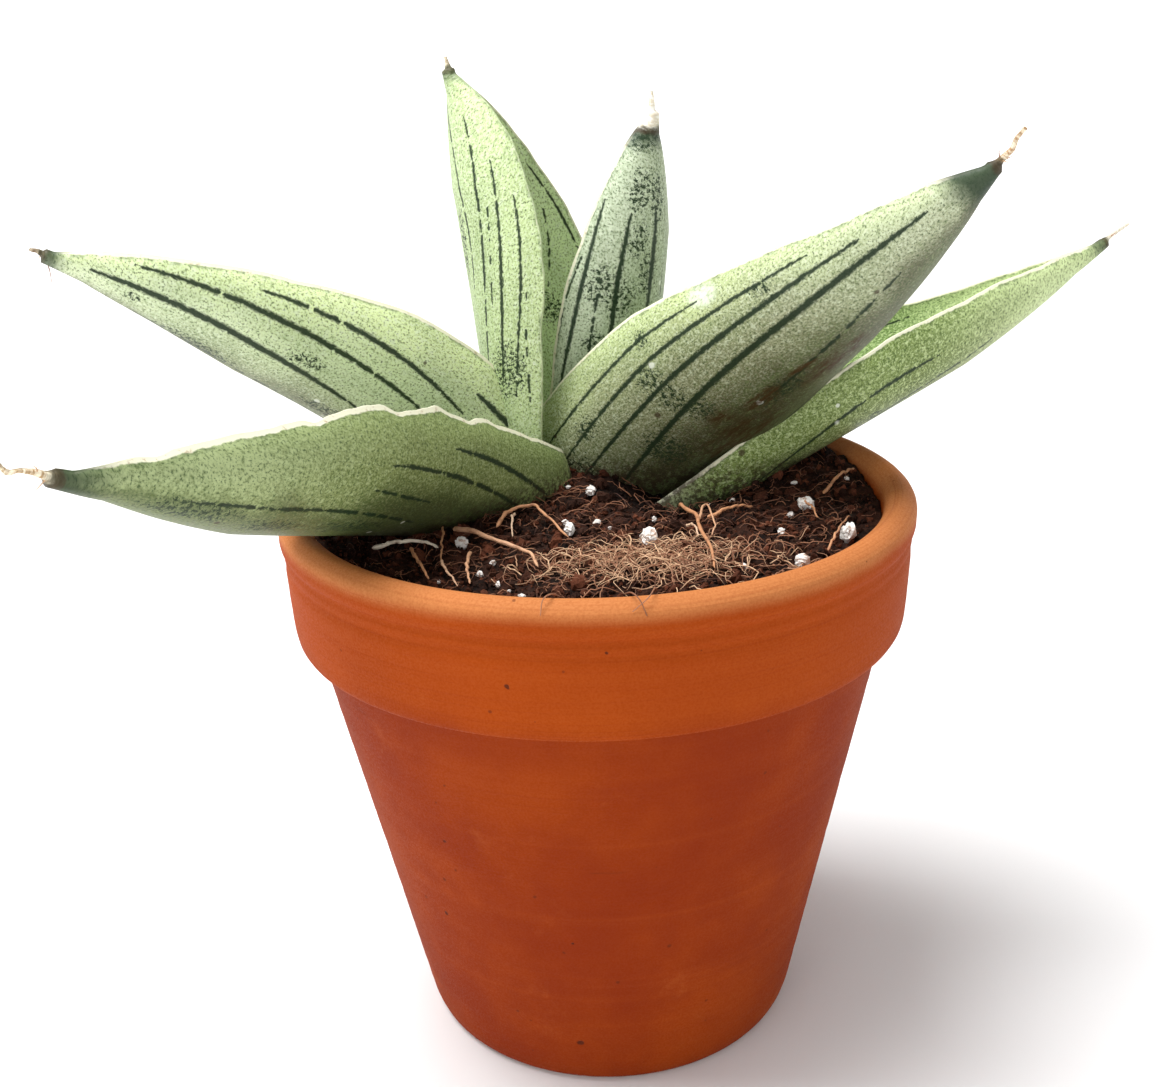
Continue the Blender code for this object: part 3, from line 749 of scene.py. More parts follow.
def streak_effect():
    """A dark streak along a leaf. It lies where across = a + b s + c s^2 between two places along
    the leaf, its width swells in the middle, and noise breaks its edge and, by choice, its run."""
    own = {"Curve": None, "Start": 0.2, "End": 0.8, "Width": 0.3, "Breaks": 0.3, "Seed": 0.0}
    group, bench, given, mask = new_effect("streak", LEAF_PLACE | own)
    curve = bench.add("SeparateXYZ", {"Vector": given["Curve"]}).outputs
    s, half, start = given["Along"], given["Half"], given["Start"]
    slope = bench.math("MULTIPLY_ADD", curve["Z"], s, curve["Y"])
    bent = bench.math("MULTIPLY_ADD", slope, s, curve["X"])
    place = bench.point(bench.times(given["Across"], half), bench.times(s, given["Length"]), given["Seed"])
    fray = bench.noise(place, (2.6, 0.9, 1.0), 3.0, 0.7)
    offset = bench.times(bench.less(given["Across"], bent), half)
    far = bench.math("ABSOLUTE", bench.shaken(offset, fray, 0.9))
    passed = bench.math("DIVIDE", bench.less(s, start), bench.less(given["End"], start))
    hump = bench.times(passed, 4.0, bench.less(1.0, passed))
    swell = bench.math("SQRT", bench.math("MAXIMUM", hump, 0.0))
    dashes = bench.noise(place, (0.25, 0.42, 1.0), 2.0, 0.6)
    open_run = bench.ease(bench.less(dashes, bench.times(given["Breaks"], 0.42)), 0.22, 0.36)
    wide = bench.times(given["Width"], swell, open_run)
    edge = bench.ease(far, bench.plus(wide, 0.16), bench.times(wide, 0.45))
    bench.set(mask, bench.times(edge, bench.math("GREATER_THAN", wide, 0.05)))
    return group


def patch_effect():
    """A soft-edged patch on a leaf, round in millimetres along and across it, from 1 in the middle
    to 0 at its edge."""
    group, bench, given, mask = new_effect("patch", LEAF_PLACE | {"Middle": None, "Wide": 4.0, "Long": 8.0})
    middle = bench.add("SeparateXYZ", {"Vector": given["Middle"]}).outputs
    far = 0.0
    for at, centre, scale, reach in (("Across", "X", "Half", "Wide"), ("Along", "Y", "Length", "Long")):
        step = bench.times(bench.less(given[at], middle[centre]), given[scale])
        share = bench.math("DIVIDE", step, given[reach])
        far = bench.math("MULTIPLY_ADD", share, share, far)
    bench.set(mask, bench.ease(far, 1.0, 0.0))
    return group


def far_streaks_effect():
    """Streaks a set distance apart across a leaf, pushed about by slow noise, each broken along
    its run and fading out towards both ends of the leaf."""
    own = {"Spacing": 4.6, "Width": 0.30, "Seed": 0.0}
    group, bench, given, mask = new_effect("far_streaks", LEAF_PLACE | own)
    s, spacing = given["Along"], given["Spacing"]
    aside = bench.times(given["Across"], 20.0)
    place = bench.point(aside, bench.times(s, given["Length"]), given["Seed"])
    push = bench.noise(place, (0.10, 0.03, 1.0), 2.0)
    lanes = bench.math("DIVIDE", bench.math("MULTIPLY_ADD", push, 5.0, aside), spacing)
    off_lane = bench.times(bench.math("ABSOLUTE", bench.less(bench.math("FRACT", lanes), 0.5)), spacing)
    fray = bench.noise(place, (2.6, 0.9, 1.0), 3.0, 0.7)
    far = bench.math("ABSOLUTE", bench.shaken(off_lane, fray, 0.6))
    dashes = bench.ease(bench.noise(place, (0.22, 0.055, 1.0), 3.0, 0.6), 0.46, 0.56)
    wide = bench.times(dashes, bench.ease(s, 0.06, 0.25), bench.ease(s, 0.92, 0.70), given["Width"])
    edge = bench.ease(far, bench.plus(wide, 0.14), bench.times(wide, 0.4))
    bench.set(mask, bench.times(edge, bench.math("GREATER_THAN", wide, 0.05)))
    return group


streak, patch, far_streaks = streak_effect(), patch_effect(), far_streaks_effect()


class LeafBench(Bench):
    """A bench that has its leaf's marks to hand and lays effects at their places on the leaf."""

    def __init__(self, tree, shape):
        super().__init__(tree)
        self.shape = shape
        self.u, self.s, self.half, self.back = map(self.mark, ("across", "along", "half", "back"))
        self.flat = self.point(self.times(self.u, self.half), self.times(self.s, shape["length"]),
                               self.math("MULTIPLY_ADD", self.back, 30.0, shape["seed"] * 7.0))

    def on_leaf(self, effect, **values):
        marks = {"Across": self.u, "Along": self.s, "Half": self.half, "Length": self.shape["length"]}
        return self.mask(effect, **marks, **values)

    def patches(self, kind):
        """The strongest of the leaf's patches of one kind at each place."""
        strongest = 0.0
        for u, s, wide, long in self.shape.get(kind, ()):
            one = self.on_leaf(patch, Middle=(u, s, 0), Wide=wide, Long=long)
            strongest = self.math("MAXIMUM", strongest, one)
        return strongest

    def streaks(self, kind, seed):
        """The leaf's streaks of one kind, each on the parabola through its three places."""
        lines = 0.0
        for k, (start, middle, end, width, breaks) in enumerate(self.shape.get(kind, ())):
            across, along = zip(start, middle, end)
            curve = tuple(np.polyfit(along, across, 2)[::-1])
            one = self.on_leaf(streak, Curve=curve, Start=start[1], End=end[1], Width=width,
                               Breaks=breaks, Seed=seed + 3.7 * k)
            lines = self.math("MAXIMUM", lines, one)
        return lines


def leaf_ground(bench, meal, fine):
    """The skin's colours from margin to margin, with painted light and shade in them, and over them its pale
    bloom, laid on by the lit range as painted light, and green grain.
    """
    shape, swayed = bench.shape, bench.shaken(bench.u, bench.noise(bench.flat, 0.10, 2.0), 0.5)
    # painted light and shade: the colours across the leaf mix the skin's own tone with painted light on the
    # side facing the lamp and painted shade on the side turned away
    left, middle, right = shape["colours"]
    colour = bench.mix(bench.ease(swayed, *shape["turn"][:2]), left, middle)
    colour = bench.mix(bench.ease(swayed, *shape["turn"][1:]), colour, right)
    inner = bench.mix(bench.ease(swayed, -1.0, 1.0), *shape["inner"])
    colour = bench.mix(bench.back, inner, colour)
    # painted light: on the back the bloom below is laid on by the lit range, strongest on the side facing the
    # lamp, so that side reads paler; in the channel it is laid on in full
    lit = bench.mix(bench.back, (1, 1, 1), bench.ease(swayed, *shape["lit"]))
    colour = bench.coat(colour, shape["bloom"], bench.ease(bench.s, 0.45, 0.88), lit, shape["pale_tip"])
    low_tone = bench.noise(bench.flat, (0.16, 0.045, 1.0))
    colour = bench.mix(bench.ease(low_tone, 0.40, 0.70, 0.0, 0.35), colour, shape["shadow"])
    colour = bench.coat(colour, shape["bloom"], bench.ease(meal, 0.50, 0.62, 0.0, 0.60), lit)
    colour = bench.mix(bench.ease(meal, 0.48, 0.36, 0.0, 0.62), colour, shape["shadow"])
    colour = bench.coat(colour, shape["bloom"], bench.ease(fine, 0.52, 0.62, 0.0, 0.55), lit)
    return bench.mix(bench.ease(fine, 0.48, 0.36, 0.0, 0.85), colour, (0.045, 0.08, 0.025)), low_tone


def leaf_lines(bench):
    """The dark streaks: those with places of their own on the back and in the channel, and evenly
    spaced ones over the rest of the leaf."""
    shape, back = bench.shape, bench.back
    drawn = bench.times(bench.streaks("streaks", 0.0), bench.ease(back, 0.4, 0.6))
    inner = bench.times(bench.streaks("inner_streaks", 50.0), bench.ease(back, 0.6, 0.4))
    bare = bench.times(bench.ease(bench.u, *shape["hidden"]), back)
    if "inner_streaks" not in shape:
        bare = bench.plus(bare, bench.less(1.0, back))
    spaced = bench.times(bench.on_leaf(far_streaks, Seed=shape["seed"] * 1.3), bare)
    return bench.math("MAXIMUM", bench.math("MAXIMUM", drawn, spaced), inner)


def leaf_margin(bench, colour):
    """The pale horny margin, a worn dark line inside it and rusty places along it."""
    half, flat = bench.half, bench.flat
    inset = bench.times(bench.less(1.0, bench.math("ABSOLUTE", bench.u)), half)
    frayed = bench.shaken(inset, bench.noise(flat, 0.8), 0.7)
    width = bench.ease(bench.u, -0.2, 0.2, *bench.shape["margins"])
    width = bench.math("MINIMUM", width, bench.math("MULTIPLY_ADD", half, 0.12, -0.35))
    rim = bench.ease(frayed, bench.plus(width, 0.22), width)
    inside = bench.ease(frayed, bench.plus(width, 0.75), bench.plus(width, 0.2))
    worn = bench.ease(bench.noise(flat, 0.35, 3.0, 0.7), 0.42, 0.60)
    colour = bench.coat(colour, (0.055, 0.10, 0.032), inside, worn, 0.55)
    colour = bench.coat(colour, (0.80, 0.78, 0.60), rim, 0.92)
    rust = bench.ease(bench.noise(flat, 0.9, 4.0, 0.7), 0.56, 0.68)
    return bench.coat(colour, (0.34, 0.20, 0.085), rim, rust, 0.6)


def leaf_tip(bench, colour):
    """The dark end of the blade, then a burnt ring, then the dry husk of the spine."""
    shape, dry_at = bench.shape, bench.shape["dry_from"]
    tip = bench.shaken(bench.s, bench.noise(bench.flat, 0.9, 4.0, 0.7), 0.03)
    dark = bench.ease(tip, *shape["dark_tip"])
    colour = bench.coat(colour, (0.022, 0.042, 0.020), dark, shape["tip_depth"])
    dry = bench.ease(tip, dry_at, dry_at + 0.018)
    husk = bench.mix(bench.ease(bench.noise(bench.flat, 1.6, 4.0, 0.7), 0.38, 0.62), *shape["husk"])
    colour = bench.mix(dry, colour, husk)
    burnt = bench.ease(tip, dry_at - 0.012, dry_at)
    unburnt = bench.ease(tip, dry_at + 0.014, dry_at + 0.002)
    return bench.coat(colour, (0.055, 0.03, 0.014), burnt, unburnt, 0.7), dry


def leaf_finish(shape):
    """The skin of one leaf: its ground, the mottling and haze, the streaks, the margins, dust and
    flecks, the dry tip, the pale foot, and the soil drawn up and splashed on it."""
    finish, bench, shader = new_finish(shape["node"] + "_skin", 0.5, Specular_IOR_Level=0.22)
    bench = LeafBench(bench.tree, shape)
    s, back, flat, place = bench.s, bench.back, bench.flat, bench.place()
    meal = bench.noise(flat, (1.5, 0.8, 1.0), 5.0, 0.72)
    fine = bench.noise(flat, (3.1, 2.1, 1.0), 3.0, 0.72)
    colour, low_tone = leaf_ground(bench, meal, fine)

    blot = bench.noise(flat, (1.5, 1.25, 1.0), 5.0, 0.80)
    stain = bench.patches("mottled")
    speckled = bench.ease(bench.plus(blot, bench.times(stain, 0.15)), 0.64, 0.70)
    colour = bench.coat(colour, (0.018, 0.036, 0.014), speckled, stain, 4.0)
    colour = bench.mix(bench.ease(blot, 0.67, 0.73, 0.0, 0.75), colour, (0.035, 0.075, 0.030))
    mealy = bench.ease(meal, 0.35, 0.6, 0.3, 0.9)
    colour = bench.coat(colour, (0.72, 0.80, 0.66), bench.patches("haze"), back, mealy)
    lines = leaf_lines(bench)
    colour = bench.coat(colour, (0.011, 0.026, 0.010), lines, 0.97)
    colour = leaf_margin(bench, colour)
    dust = specks_on(bench, place, 360.0, shape["dust"], 0.26)
    colour = bench.coat(colour, (0.82, 0.86, 0.76), dust, 0.75)
    flecks = specks_on(bench, place, 250.0, 0.05, 0.16)
    colour = bench.coat(colour, (0.045, 0.025, 0.012), flecks, 0.8)
    colour, dry = leaf_tip(bench, colour)

    white_foot = bench.ease(bench.plus(s, bench.times(low_tone, 0.05)), 0.05, -0.10)
    colour = bench.coat(colour, (0.62, 0.62, 0.42), white_foot, 0.7)
    dirty = bench.patches("dirt")
    drawn = bench.noise(flat, (0.9, 0.22, 1.0), 5.0, 0.72)
    earth = bench.ease(bench.plus(drawn, bench.times(dirty, 0.12)), 0.50, 0.72)
    colour = bench.coat(colour, (0.052, 0.028, 0.007), earth, dirty, back, 1.1)
    height = bench.add("SeparateXYZ", {"Vector": place}).outputs["Z"]
    splash = bench.ease(bench.shaken(height, blot, 0.010), 0.1125, 0.1065)
    grit = bench.ease(bench.noise(place, 900.0, 4.0, 0.7), 0.42, 0.56)
    colour = bench.coat(colour, (0.035, 0.018, 0.010), splash, bench.ease(s, 0.42, 0.30), grit, 0.8)
    bench.set(shader.inputs["Base Color"], colour)

    rough = bench.math("MULTIPLY_ADD", dry, 0.3, bench.ease(meal, 0.35, 0.65, 0.40, 0.62))
    bench.set(shader.inputs["Roughness"], rough)
    fibrous = bench.noise(flat, (5.0, 0.35, 1.0), 4.0, 0.6)
    relief = bench.plus(bench.times(meal, 0.5), bench.times(fine, 0.3))
    relief = bench.less(relief, bench.times(lines, 0.35))
    bench.bump(shader, bench.plus(relief, bench.times(dry, fibrous, 2.5)), 0.00018, 0.55)
    return finish


# Each leaf's colours from margin to margin hold painted light and painted shade with the skin's own tone,
# lighter on the side facing the lamp and darker on the side turned away; its lit range lays on the bloom as
# painted light.
BLOOM = (0.66, 0.74, 0.54)
# painted shade: the last colour darkens the rounded lower side of this leaf
FRONT_LEFT = dict(
    node="leaf_front_left", foot=(-14, 11.5, 99.2), heading=235.5, swing=7, pitch=(21.5, 18, 26),
    length=116.5, width=41.5, broadest=0.46, base=0.75, taper=(1.7, 1.1), fold=(74, 83),
    roll=(-32, -16), spine=8.5, sheath=8, seed=101, wave=1.6,
    colours=((0.27, 0.345, 0.115), (0.20, 0.255, 0.080), (0.055, 0.070, 0.020)),
    turn=(-1.0, -0.60, -0.24), lit=(-0.24, -0.60, 0.3, 1.0), hidden=(0.05, 0.25), pale_tip=0.85,
    pinch=0.72, inner=((0.20, 0.29, 0.09), (0.22, 0.32, 0.11)), bloom=(0.42, 0.50, 0.25),
    shadow=(0.085, 0.125, 0.030), margins=(0.48, 0.3), dust=0.05, dark_tip=(0.90, 0.985),
    tip_depth=0.85, dry_from=0.998, husk=((0.42, 0.27, 0.13), (0.86, 0.78, 0.60)),
    mottled=((-0.20, 0.80, 2.6, 14.0), (-0.10, 0.50, 2.6, 14.0), (-0.12, 0.66, 2.2, 10.0)),
    streaks=(
        ((-0.11, 0.33), (-0.28, 0.55), (-0.32, 0.82), 0.38, 0.32),
        ((-0.35, 0.37), (-0.40, 0.45), (-0.45, 0.52), 0.26, 0.3),
        ((-0.34, 0.12), (-0.53, 0.31), (-0.61, 0.50), 0.40, 0.18),
        ((-0.49, 0.06), (-0.64, 0.19), (-0.74, 0.35), 0.46, 0.12),
    ),
)
LEFT = dict(
    node="leaf_left", foot=(-14.5, 23.5, 97.3), heading=200.5, swing=1.5, pitch=(43.5, 33.5, 29),
    length=105, width=43.5, broadest=0.38, base=0.66, taper=(1.4, 0.8), fold=(64, 69), roll=(-47, -24),
    spine=2.5, sheath=8, seed=202, wave=0.5,
    colours=((0.72, 0.84, 0.41), (0.66, 0.75, 0.47), (0.13, 0.14, 0.06)), turn=(-0.95, -0.35, 0.24),
    lit=(0.30, -0.1, 0.35, 1.0), hidden=(0.40, 0.55), pale_tip=0.1, pinch=0.66,
    inner=((0.26, 0.38, 0.13), (0.30, 0.42, 0.16)), bloom=BLOOM, shadow=(0.19, 0.27, 0.11),
    margins=(0.30, 0.30), dust=0.02, dark_tip=(0.955, 0.992), tip_depth=0.85, dry_from=1.000,
    husk=((0.16, 0.10, 0.055), (0.60, 0.50, 0.36)),
    mottled=(
        (0.12, 0.72, 3.5, 13.0), (-0.26, 0.85, 1.4, 2.4), (0.1, 0.45, 3.0, 10.0),
        (-0.35, 0.55, 2.0, 6.0),
    ),
    streaks=(
        ((-0.10, 0.39), (-0.34, 0.67), (-0.51, 0.93), 0.64, 0.05),
        ((-0.37, 0.31), (-0.59, 0.59), (-0.81, 0.87), 0.54, 0.1),
        ((-0.52, 0.25), (-0.69, 0.45), (-0.83, 0.67), 0.50, 0.15),
        ((-0.66, 0.12), (-0.68, 0.18), (-0.71, 0.25), 0.60, 0.0),
        ((0.30, 0.45), (0.17, 0.66), (0.13, 0.84), 0.40, 0.5),
    ),
)
UPRIGHT_LEFT = dict(
    node="leaf_upright_left", foot=(-10.5, 29.5, 99), heading=165, swing=3.5, pitch=(75, 81, 77),
    length=86, width=49, broadest=0.45, base=0.76, taper=(2.2, 0.9), fold=(86, 84), roll=(26, -20),
    spine=2.5, sheath=8, seed=303, wave=0.6,
    colours=((0.54, 0.66, 0.32), (0.50, 0.61, 0.31), (0.46, 0.57, 0.29)), turn=(-1.0, -0.5, 0.5),
    inner=((0.52, 0.70, 0.29), (0.70, 0.84, 0.44)), lit=(-1.0, -0.9, 1.0, 1.0), hidden=(0.0, 0.15),
    pale_tip=0.0, pinch=0.5, bloom=BLOOM, shadow=(0.20, 0.28, 0.11), margins=(-0.2, 0.0), dust=0.012,
    dark_tip=(0.96, 0.995), tip_depth=0.6, dry_from=1.000,
    husk=((0.34, 0.26, 0.16), (0.74, 0.66, 0.50)),
    mottled=(
        (-0.75, 0.34, 6.0, 9.0), (-0.5, 0.25, 6.0, 8.0), (0.56, 0.41, 4.0, 6.0),
        (-0.3, 0.62, 2.0, 12.0),
    ),
    streaks=(
        ((-0.40, 0.50), (-0.34, 0.76), (-0.10, 0.94), 0.24, 0.35),
        ((-0.53, 0.30), (-0.56, 0.62), (-0.56, 0.90), 0.30, 0.3),
        ((-0.70, 0.27), (-0.71, 0.55), (-0.74, 0.80), 0.30, 0.25),
        ((-0.81, 0.27), (-0.85, 0.52), (-0.87, 0.72), 0.28, 0.3),
        ((-0.92, 0.26), (-0.90, 0.38), (-0.89, 0.52), 0.26, 0.5),
        ((-0.62, 0.44), (-0.63, 0.60), (-0.65, 0.74), 0.20, 0.6),
    ),
    inner_streaks=(
        ((0.95, 0.50), (0.93, 0.62), (0.90, 0.76), 0.30, 0.3),
        ((0.58, 0.46), (0.70, 0.55), (0.81, 0.66), 0.26, 0.4),
    ),
)
UPRIGHT_CENTRE = dict(
    node="leaf_upright_centre", foot=(2, 30, 98), heading=-15.5, swing=-1, pitch=(76, 82, 86),
    length=77.5, width=38, broadest=0.41, base=0.74, taper=(1.9, 0.8), fold=(74, 76), roll=(9, 3),
    spine=4, sheath=8, seed=404, wave=0.4,
    colours=((0.40, 0.46, 0.30), (0.42, 0.48, 0.32), (0.52, 0.60, 0.42)), turn=(-0.8, 0.1, 0.95),
    inner=((0.25, 0.36, 0.14), (0.28, 0.38, 0.16)), lit=(-1.0, -0.9, 1.0, 1.0), hidden=(0.10, -0.05),
    pale_tip=0.0, pinch=0.45, bloom=(0.66, 0.72, 0.56), shadow=(0.17, 0.22, 0.11), margins=(0.10, 0.12),
    dust=0.01, dark_tip=(0.90, 0.95), tip_depth=0.85, dry_from=0.958,
    husk=((0.90, 0.87, 0.80), (0.70, 0.62, 0.48)),
    mottled=(
        (0.70, 0.59, 4.0, 6.0), (0.50, 0.56, 4.0, 6.0), (0.65, 0.44, 3.5, 4.0), (0.41, 0.70, 2.5, 6.0),
        (0.47, 0.82, 3.0, 7.0), (0.60, 0.95, 4.0, 5.0), (0.25, 0.62, 3.0, 7.0), (0.2, 0.8, 2.5, 8.0),
    ),
    streaks=(
        ((0.92, 0.30), (0.86, 0.55), (0.90, 0.80), 0.42, 0.05),
        ((0.52, 0.40), (0.55, 0.58), (0.55, 0.77), 0.50, 0.0),
        ((0.69, 0.38), (0.70, 0.52), (0.70, 0.67), 0.26, 0.4),
        ((0.20, 0.45), (0.21, 0.62), (0.22, 0.78), 0.56, 0.05),
        ((1.00, 0.40), (0.98, 0.52), (0.94, 0.66), 0.20, 0.3),
    ),
)
# painted shade: the first colour, near black, darkens the lower side of this leaf, which faces down and away
# from the lamp
RIGHT_FRONT = dict(
    node="leaf_right_front", foot=(-0.5, 20, 97.5), heading=-35, swing=0.5, pitch=(44, 38.5, 51),
    length=106.5, width=49, broadest=0.36, base=0.86, taper=(1.4, 0.7), fold=(45, 71), roll=(55, 14),
    spine=7.5, sheath=8, seed=505, wave=0.4,
    colours=((0.045, 0.038, 0.010), (0.235, 0.25, 0.13), (0.52, 0.62, 0.28)), turn=(-0.04, 0.42, 1.05),
    lit=(-0.10, 0.55, 0.18, 1.0), hidden=(-0.30, -0.45), pale_tip=0.45, pinch=0.62,
    inner=((0.25, 0.36, 0.12), (0.28, 0.40, 0.14)), bloom=(0.64, 0.71, 0.50), shadow=(0.17, 0.23, 0.09),
    margins=(0.14, 0.14), dust=0.02, dark_tip=(0.915, 0.965), tip_depth=0.95, dry_from=1.004,
    husk=((0.36, 0.20, 0.09), (0.84, 0.74, 0.56)),
    mottled=(
        (0.82, 0.37, 3.0, 3.0), (0.56, 0.34, 4.0, 5.0), (0.38, 0.35, 4.0, 5.0), (0.57, 0.16, 3.0, 5.0),
        (0.21, 0.37, 4.0, 5.0), (0.10, 0.25, 7.0, 6.0), (0.3, 0.08, 9.0, 7.0), (0.75, 0.62, 2.0, 4.0),
        (-0.05, 0.5, 4.0, 8.0),
    ),
    haze=((0.90, 0.52, 2.5, 4.0),),
    streaks=(
        ((0.08, 0.12), (0.42, 0.57), (0.59, 0.90), 0.70, 0.0),
        ((0.32, 0.08), (0.56, 0.48), (0.74, 0.80), 0.50, 0.05),
        ((0.49, 0.04), (0.69, 0.40), (0.83, 0.72), 0.40, 0.1),
        ((0.70, 0.06), (0.80, 0.31), (0.87, 0.51), 0.32, 0.15),
        ((-0.06, 0.44), (0.08, 0.68), (0.16, 0.80), 0.42, 0.35),
    ),
    dirt=(
        (-0.01, 0.46, 3.0, 7.0), (0.05, 0.38, 3.0, 5.0), (0.01, 0.55, 1.5, 6.0),
        (-0.18, 0.60, 3.5, 12.0), (-0.2, 0.36, 7.0, 14.0),
    ),
)
RIGHT = dict(
    node="leaf_right", foot=(20.5, 16.5, 102), heading=13, swing=8.5, pitch=(27.5, 22.5, 31),
    length=101.5, width=40, broadest=0.35, base=0.75, taper=(1.4, 0.9), fold=(85, 82), roll=(-10, 24),
    spine=7, sheath=15, seed=606, wave=0.5,
    colours=((0.22, 0.28, 0.09), (0.095, 0.115, 0.024), (0.215, 0.30, 0.080)), turn=(-0.5, 0.15, 0.9),
    lit=(-0.30, 0.35, 0.4, 1.0), hidden=(0.0, -0.15), pale_tip=0.95, pinch=0.6,
    inner=((0.20, 0.32, 0.09), (0.18, 0.28, 0.075)), bloom=(0.62, 0.73, 0.38),
    shadow=(0.10, 0.155, 0.035), margins=(0.04, 0.10), dust=0.02, dark_tip=(0.94, 0.985),
    tip_depth=0.75, dry_from=0.998, husk=((0.62, 0.54, 0.40), (0.88, 0.84, 0.74)),
    mottled=((0.41, 0.36, 2.0, 3.5), (0.30, 0.15, 7.0, 8.0)),
    streaks=(
        ((0.50, 0.08), (0.65, 0.28), (0.66, 0.52), 0.34, 0.2),
        ((0.28, 0.14), (0.36, 0.40), (0.43, 0.66), 0.32, 0.3),
    ),
    inner_streaks=(
        ((-0.45, 0.36), (-0.56, 0.50), (-0.60, 0.68), 0.50, 0.45),
        ((-0.75, 0.2), (-0.80, 0.4), (-0.82, 0.6), 0.24, 0.4),
    ),
)

for leaf_shape in (FRONT_LEFT, LEFT, UPRIGHT_LEFT, UPRIGHT_CENTRE, RIGHT_FRONT, RIGHT):
    make_leaf(leaf_shape["node"] + "_skin", leaf_shape, leaf_finish(leaf_shape))

# Threads of the dry tips: the leaf, millimetres along the spine, length, and the shares of that
# length that the thread goes ahead, aside, outward and down
TIP_THREADS = (
    (FRONT_LEFT, 0.5, 4.2, 0.75, 0.30, 0.10, 0.05), (FRONT_LEFT, 1.2, 3.6, 0.80, -0.35, 0.15, 0.0),
    (FRONT_LEFT, 0.2, 3.0, 0.60, 0.10, -0.45, 0.25), (LEFT, 0.0, 4.6, -0.15, 0.10, 0.05, 1.0),
    (LEFT, 0.6, 3.0, 0.10, -0.30, 0.20, 0.8), (LEFT, 0.2, 2.0, 0.25, 0.45, -0.20, 0.2),
    (RIGHT_FRONT, 0.4, 3.4, 0.70, 0.45, 0.10, 0.0), (RIGHT_FRONT, 0.2, 3.8, 0.75, -0.35, -0.15, 0.1),
    (RIGHT_FRONT, 1.0, 2.6, 0.60, 0.20, -0.40, 0.3), (RIGHT, 1.0, 3.6, 0.60, 0.35, 0.15, 0.2),
    (RIGHT, 0.6, 3.0, 0.70, -0.30, 0.10, 0.0), (UPRIGHT_CENTRE, 0.2, 1.8, 0.80, 0.30, 0.10, 0.0),
)


def make_threads():
    """Each thread leaves its spine straight and then bends: start + t ahead + t^1.6 times its own
    sideways and downward pull, with a little curl from a sine."""
    t = np.linspace(0, 1, 16)[:, None]
    paths = []
    for shape, start, reach, forward, aside, outward, drop in TIP_THREADS:
        rib, ahead, side, face = leaf_design(shape)
        pull = aside * side[-1] + outward * face[-1] - drop * np.array([0, 0, 1])
        curl = 0.10 * np.sin(t * 7 + start * 5) * side[-1]
        way = forward * t * ahead[-1] + t**1.6 * pull + t * curl
        paths.append(rib[-1] + start * ahead[-1] + reach * way)
    radii = 0.17 * (1 - 0.7 * np.linspace(0, 1, 16)) + np.zeros((len(paths), 1))
    tones = np.where(np.arange(len(paths)) % 3 == 0, 0.55, 0.95)
    show("tip_threads", tube_mesh("tip_threads", np.stack(paths), radii, 6, tones), fibre, "leaf")


make_threads()

# --- Roots ------------------------------------------------------------------------------------
# Wiry feeding roots that lie loose over the soil: one pale and new, the others tan to brown. Each
# tapers along its length and bends a little every few millimetres.


def root_finish():
    """Root bark: tan to brown by each root's mark, darker in bands along it."""
    finish, bench, shader = new_finish("root_bark", 0.62)
    place = bench.place()
    tone = bench.mark("tone")
    colour = bench.mix(bench.ease(tone, 0.0, 0.5), (0.14, 0.045, 0.02), (0.52, 0.24, 0.11))
    colour = bench.mix(bench.ease(tone, 0.5, 1.0), colour, (0.86, 0.76, 0.60))
    bands = bench.noise(place, 420.0, 3.0)
    colour = bench.mix(bench.ease(bands, 0.50, 0.68, 0.0, 0.6), colour, (0.20, 0.075, 0.035))
    bench.set(shader.inputs["Base Color"], colour)
    bench.bump(shader, bench.noise(place, 1800.0, 3.0), 0.0002)
    return finish


root_bark = root_finish()


def through_points(points, count):
    """A Catmull-Rom curve through its points, at even steps of its parameter."""
    return smooth_rows(np.array(points, float), np.linspace(0, 1, count))


def make_root(name, route, radius, tone, lift=1.2, arch=1.0, node=None):
    """A tube along a curve over the soil, its height the soil's plus a low arch, and its radius
    falling to half at its far end, with noise in both."""
    steps = 90
    seed = 700 + len(bpy.data.objects)
    plan = through_points(route, steps)
    t = np.linspace(0, 1, steps)
    wobble = np.stack([drift(t * 14, 0 * t + 3, seed), drift(t * 14, 0 * t + 9, seed)], axis=1) * 0.22
    x, y = (plan + wobble * np.sin(np.pi * t)[:, None]).T
    z = soil_height(x, y) + lift + arch * np.sin(np.pi * t) + 0.25 * drift(t * 11, 0 * t + 5, seed)
    swell = radius * (1.05 - 0.5 * t) * (1 + 0.16 * drift(t * 24, 0 * t, seed + 1))
    ends = np.minimum(1, np.minimum(t, 1 - t) * 22 + 0.25)
    mesh = tube_mesh(name, np.stack([x, y, z], axis=1)[None], (swell * ends)[None], 10, np.array([tone]))
    return show(name, mesh, root_bark, "root", *([node] if node else []))


for root_name, root_route, root_radius, root_tone in (
    ("root_white", ((-40, -22), (-36, -22), (-32, -22), (-28, -24)), 0.42, 1.0),
    ("root_tan_long", ((-26, -17), (-22, -21), (-17, -27), (-12, -31), (-10, -37)), 0.45, 0.62),
    ("root_tan_loop", ((-18, -18), (-16, -12), (-12, -9), (-9, -14), (-5, -24)), 0.36, 0.55),
    ("root_fork_stem", ((16, 0), (16, -9), (18, -18), (18, -26), (19, -36), (19, -42)), 0.40, 0.38),
    ("root_fork_side", ((20, -16), (24, -13), (29, -9)), 0.36, 0.5),
    ("root_right", ((43, -3), (47, 3), (51, 9)), 0.36, 0.45),
    ("root_strand_left", ((-33, -23), (-31, -31), (-28, -40)), 0.33, 0.5),
    ("root_strand_front", ((-22, -28), (-22, -36), (-21, -43)), 0.33, 0.6),
):
    make_root(root_name + "_bark", root_route, root_radius, root_tone, node=root_name)

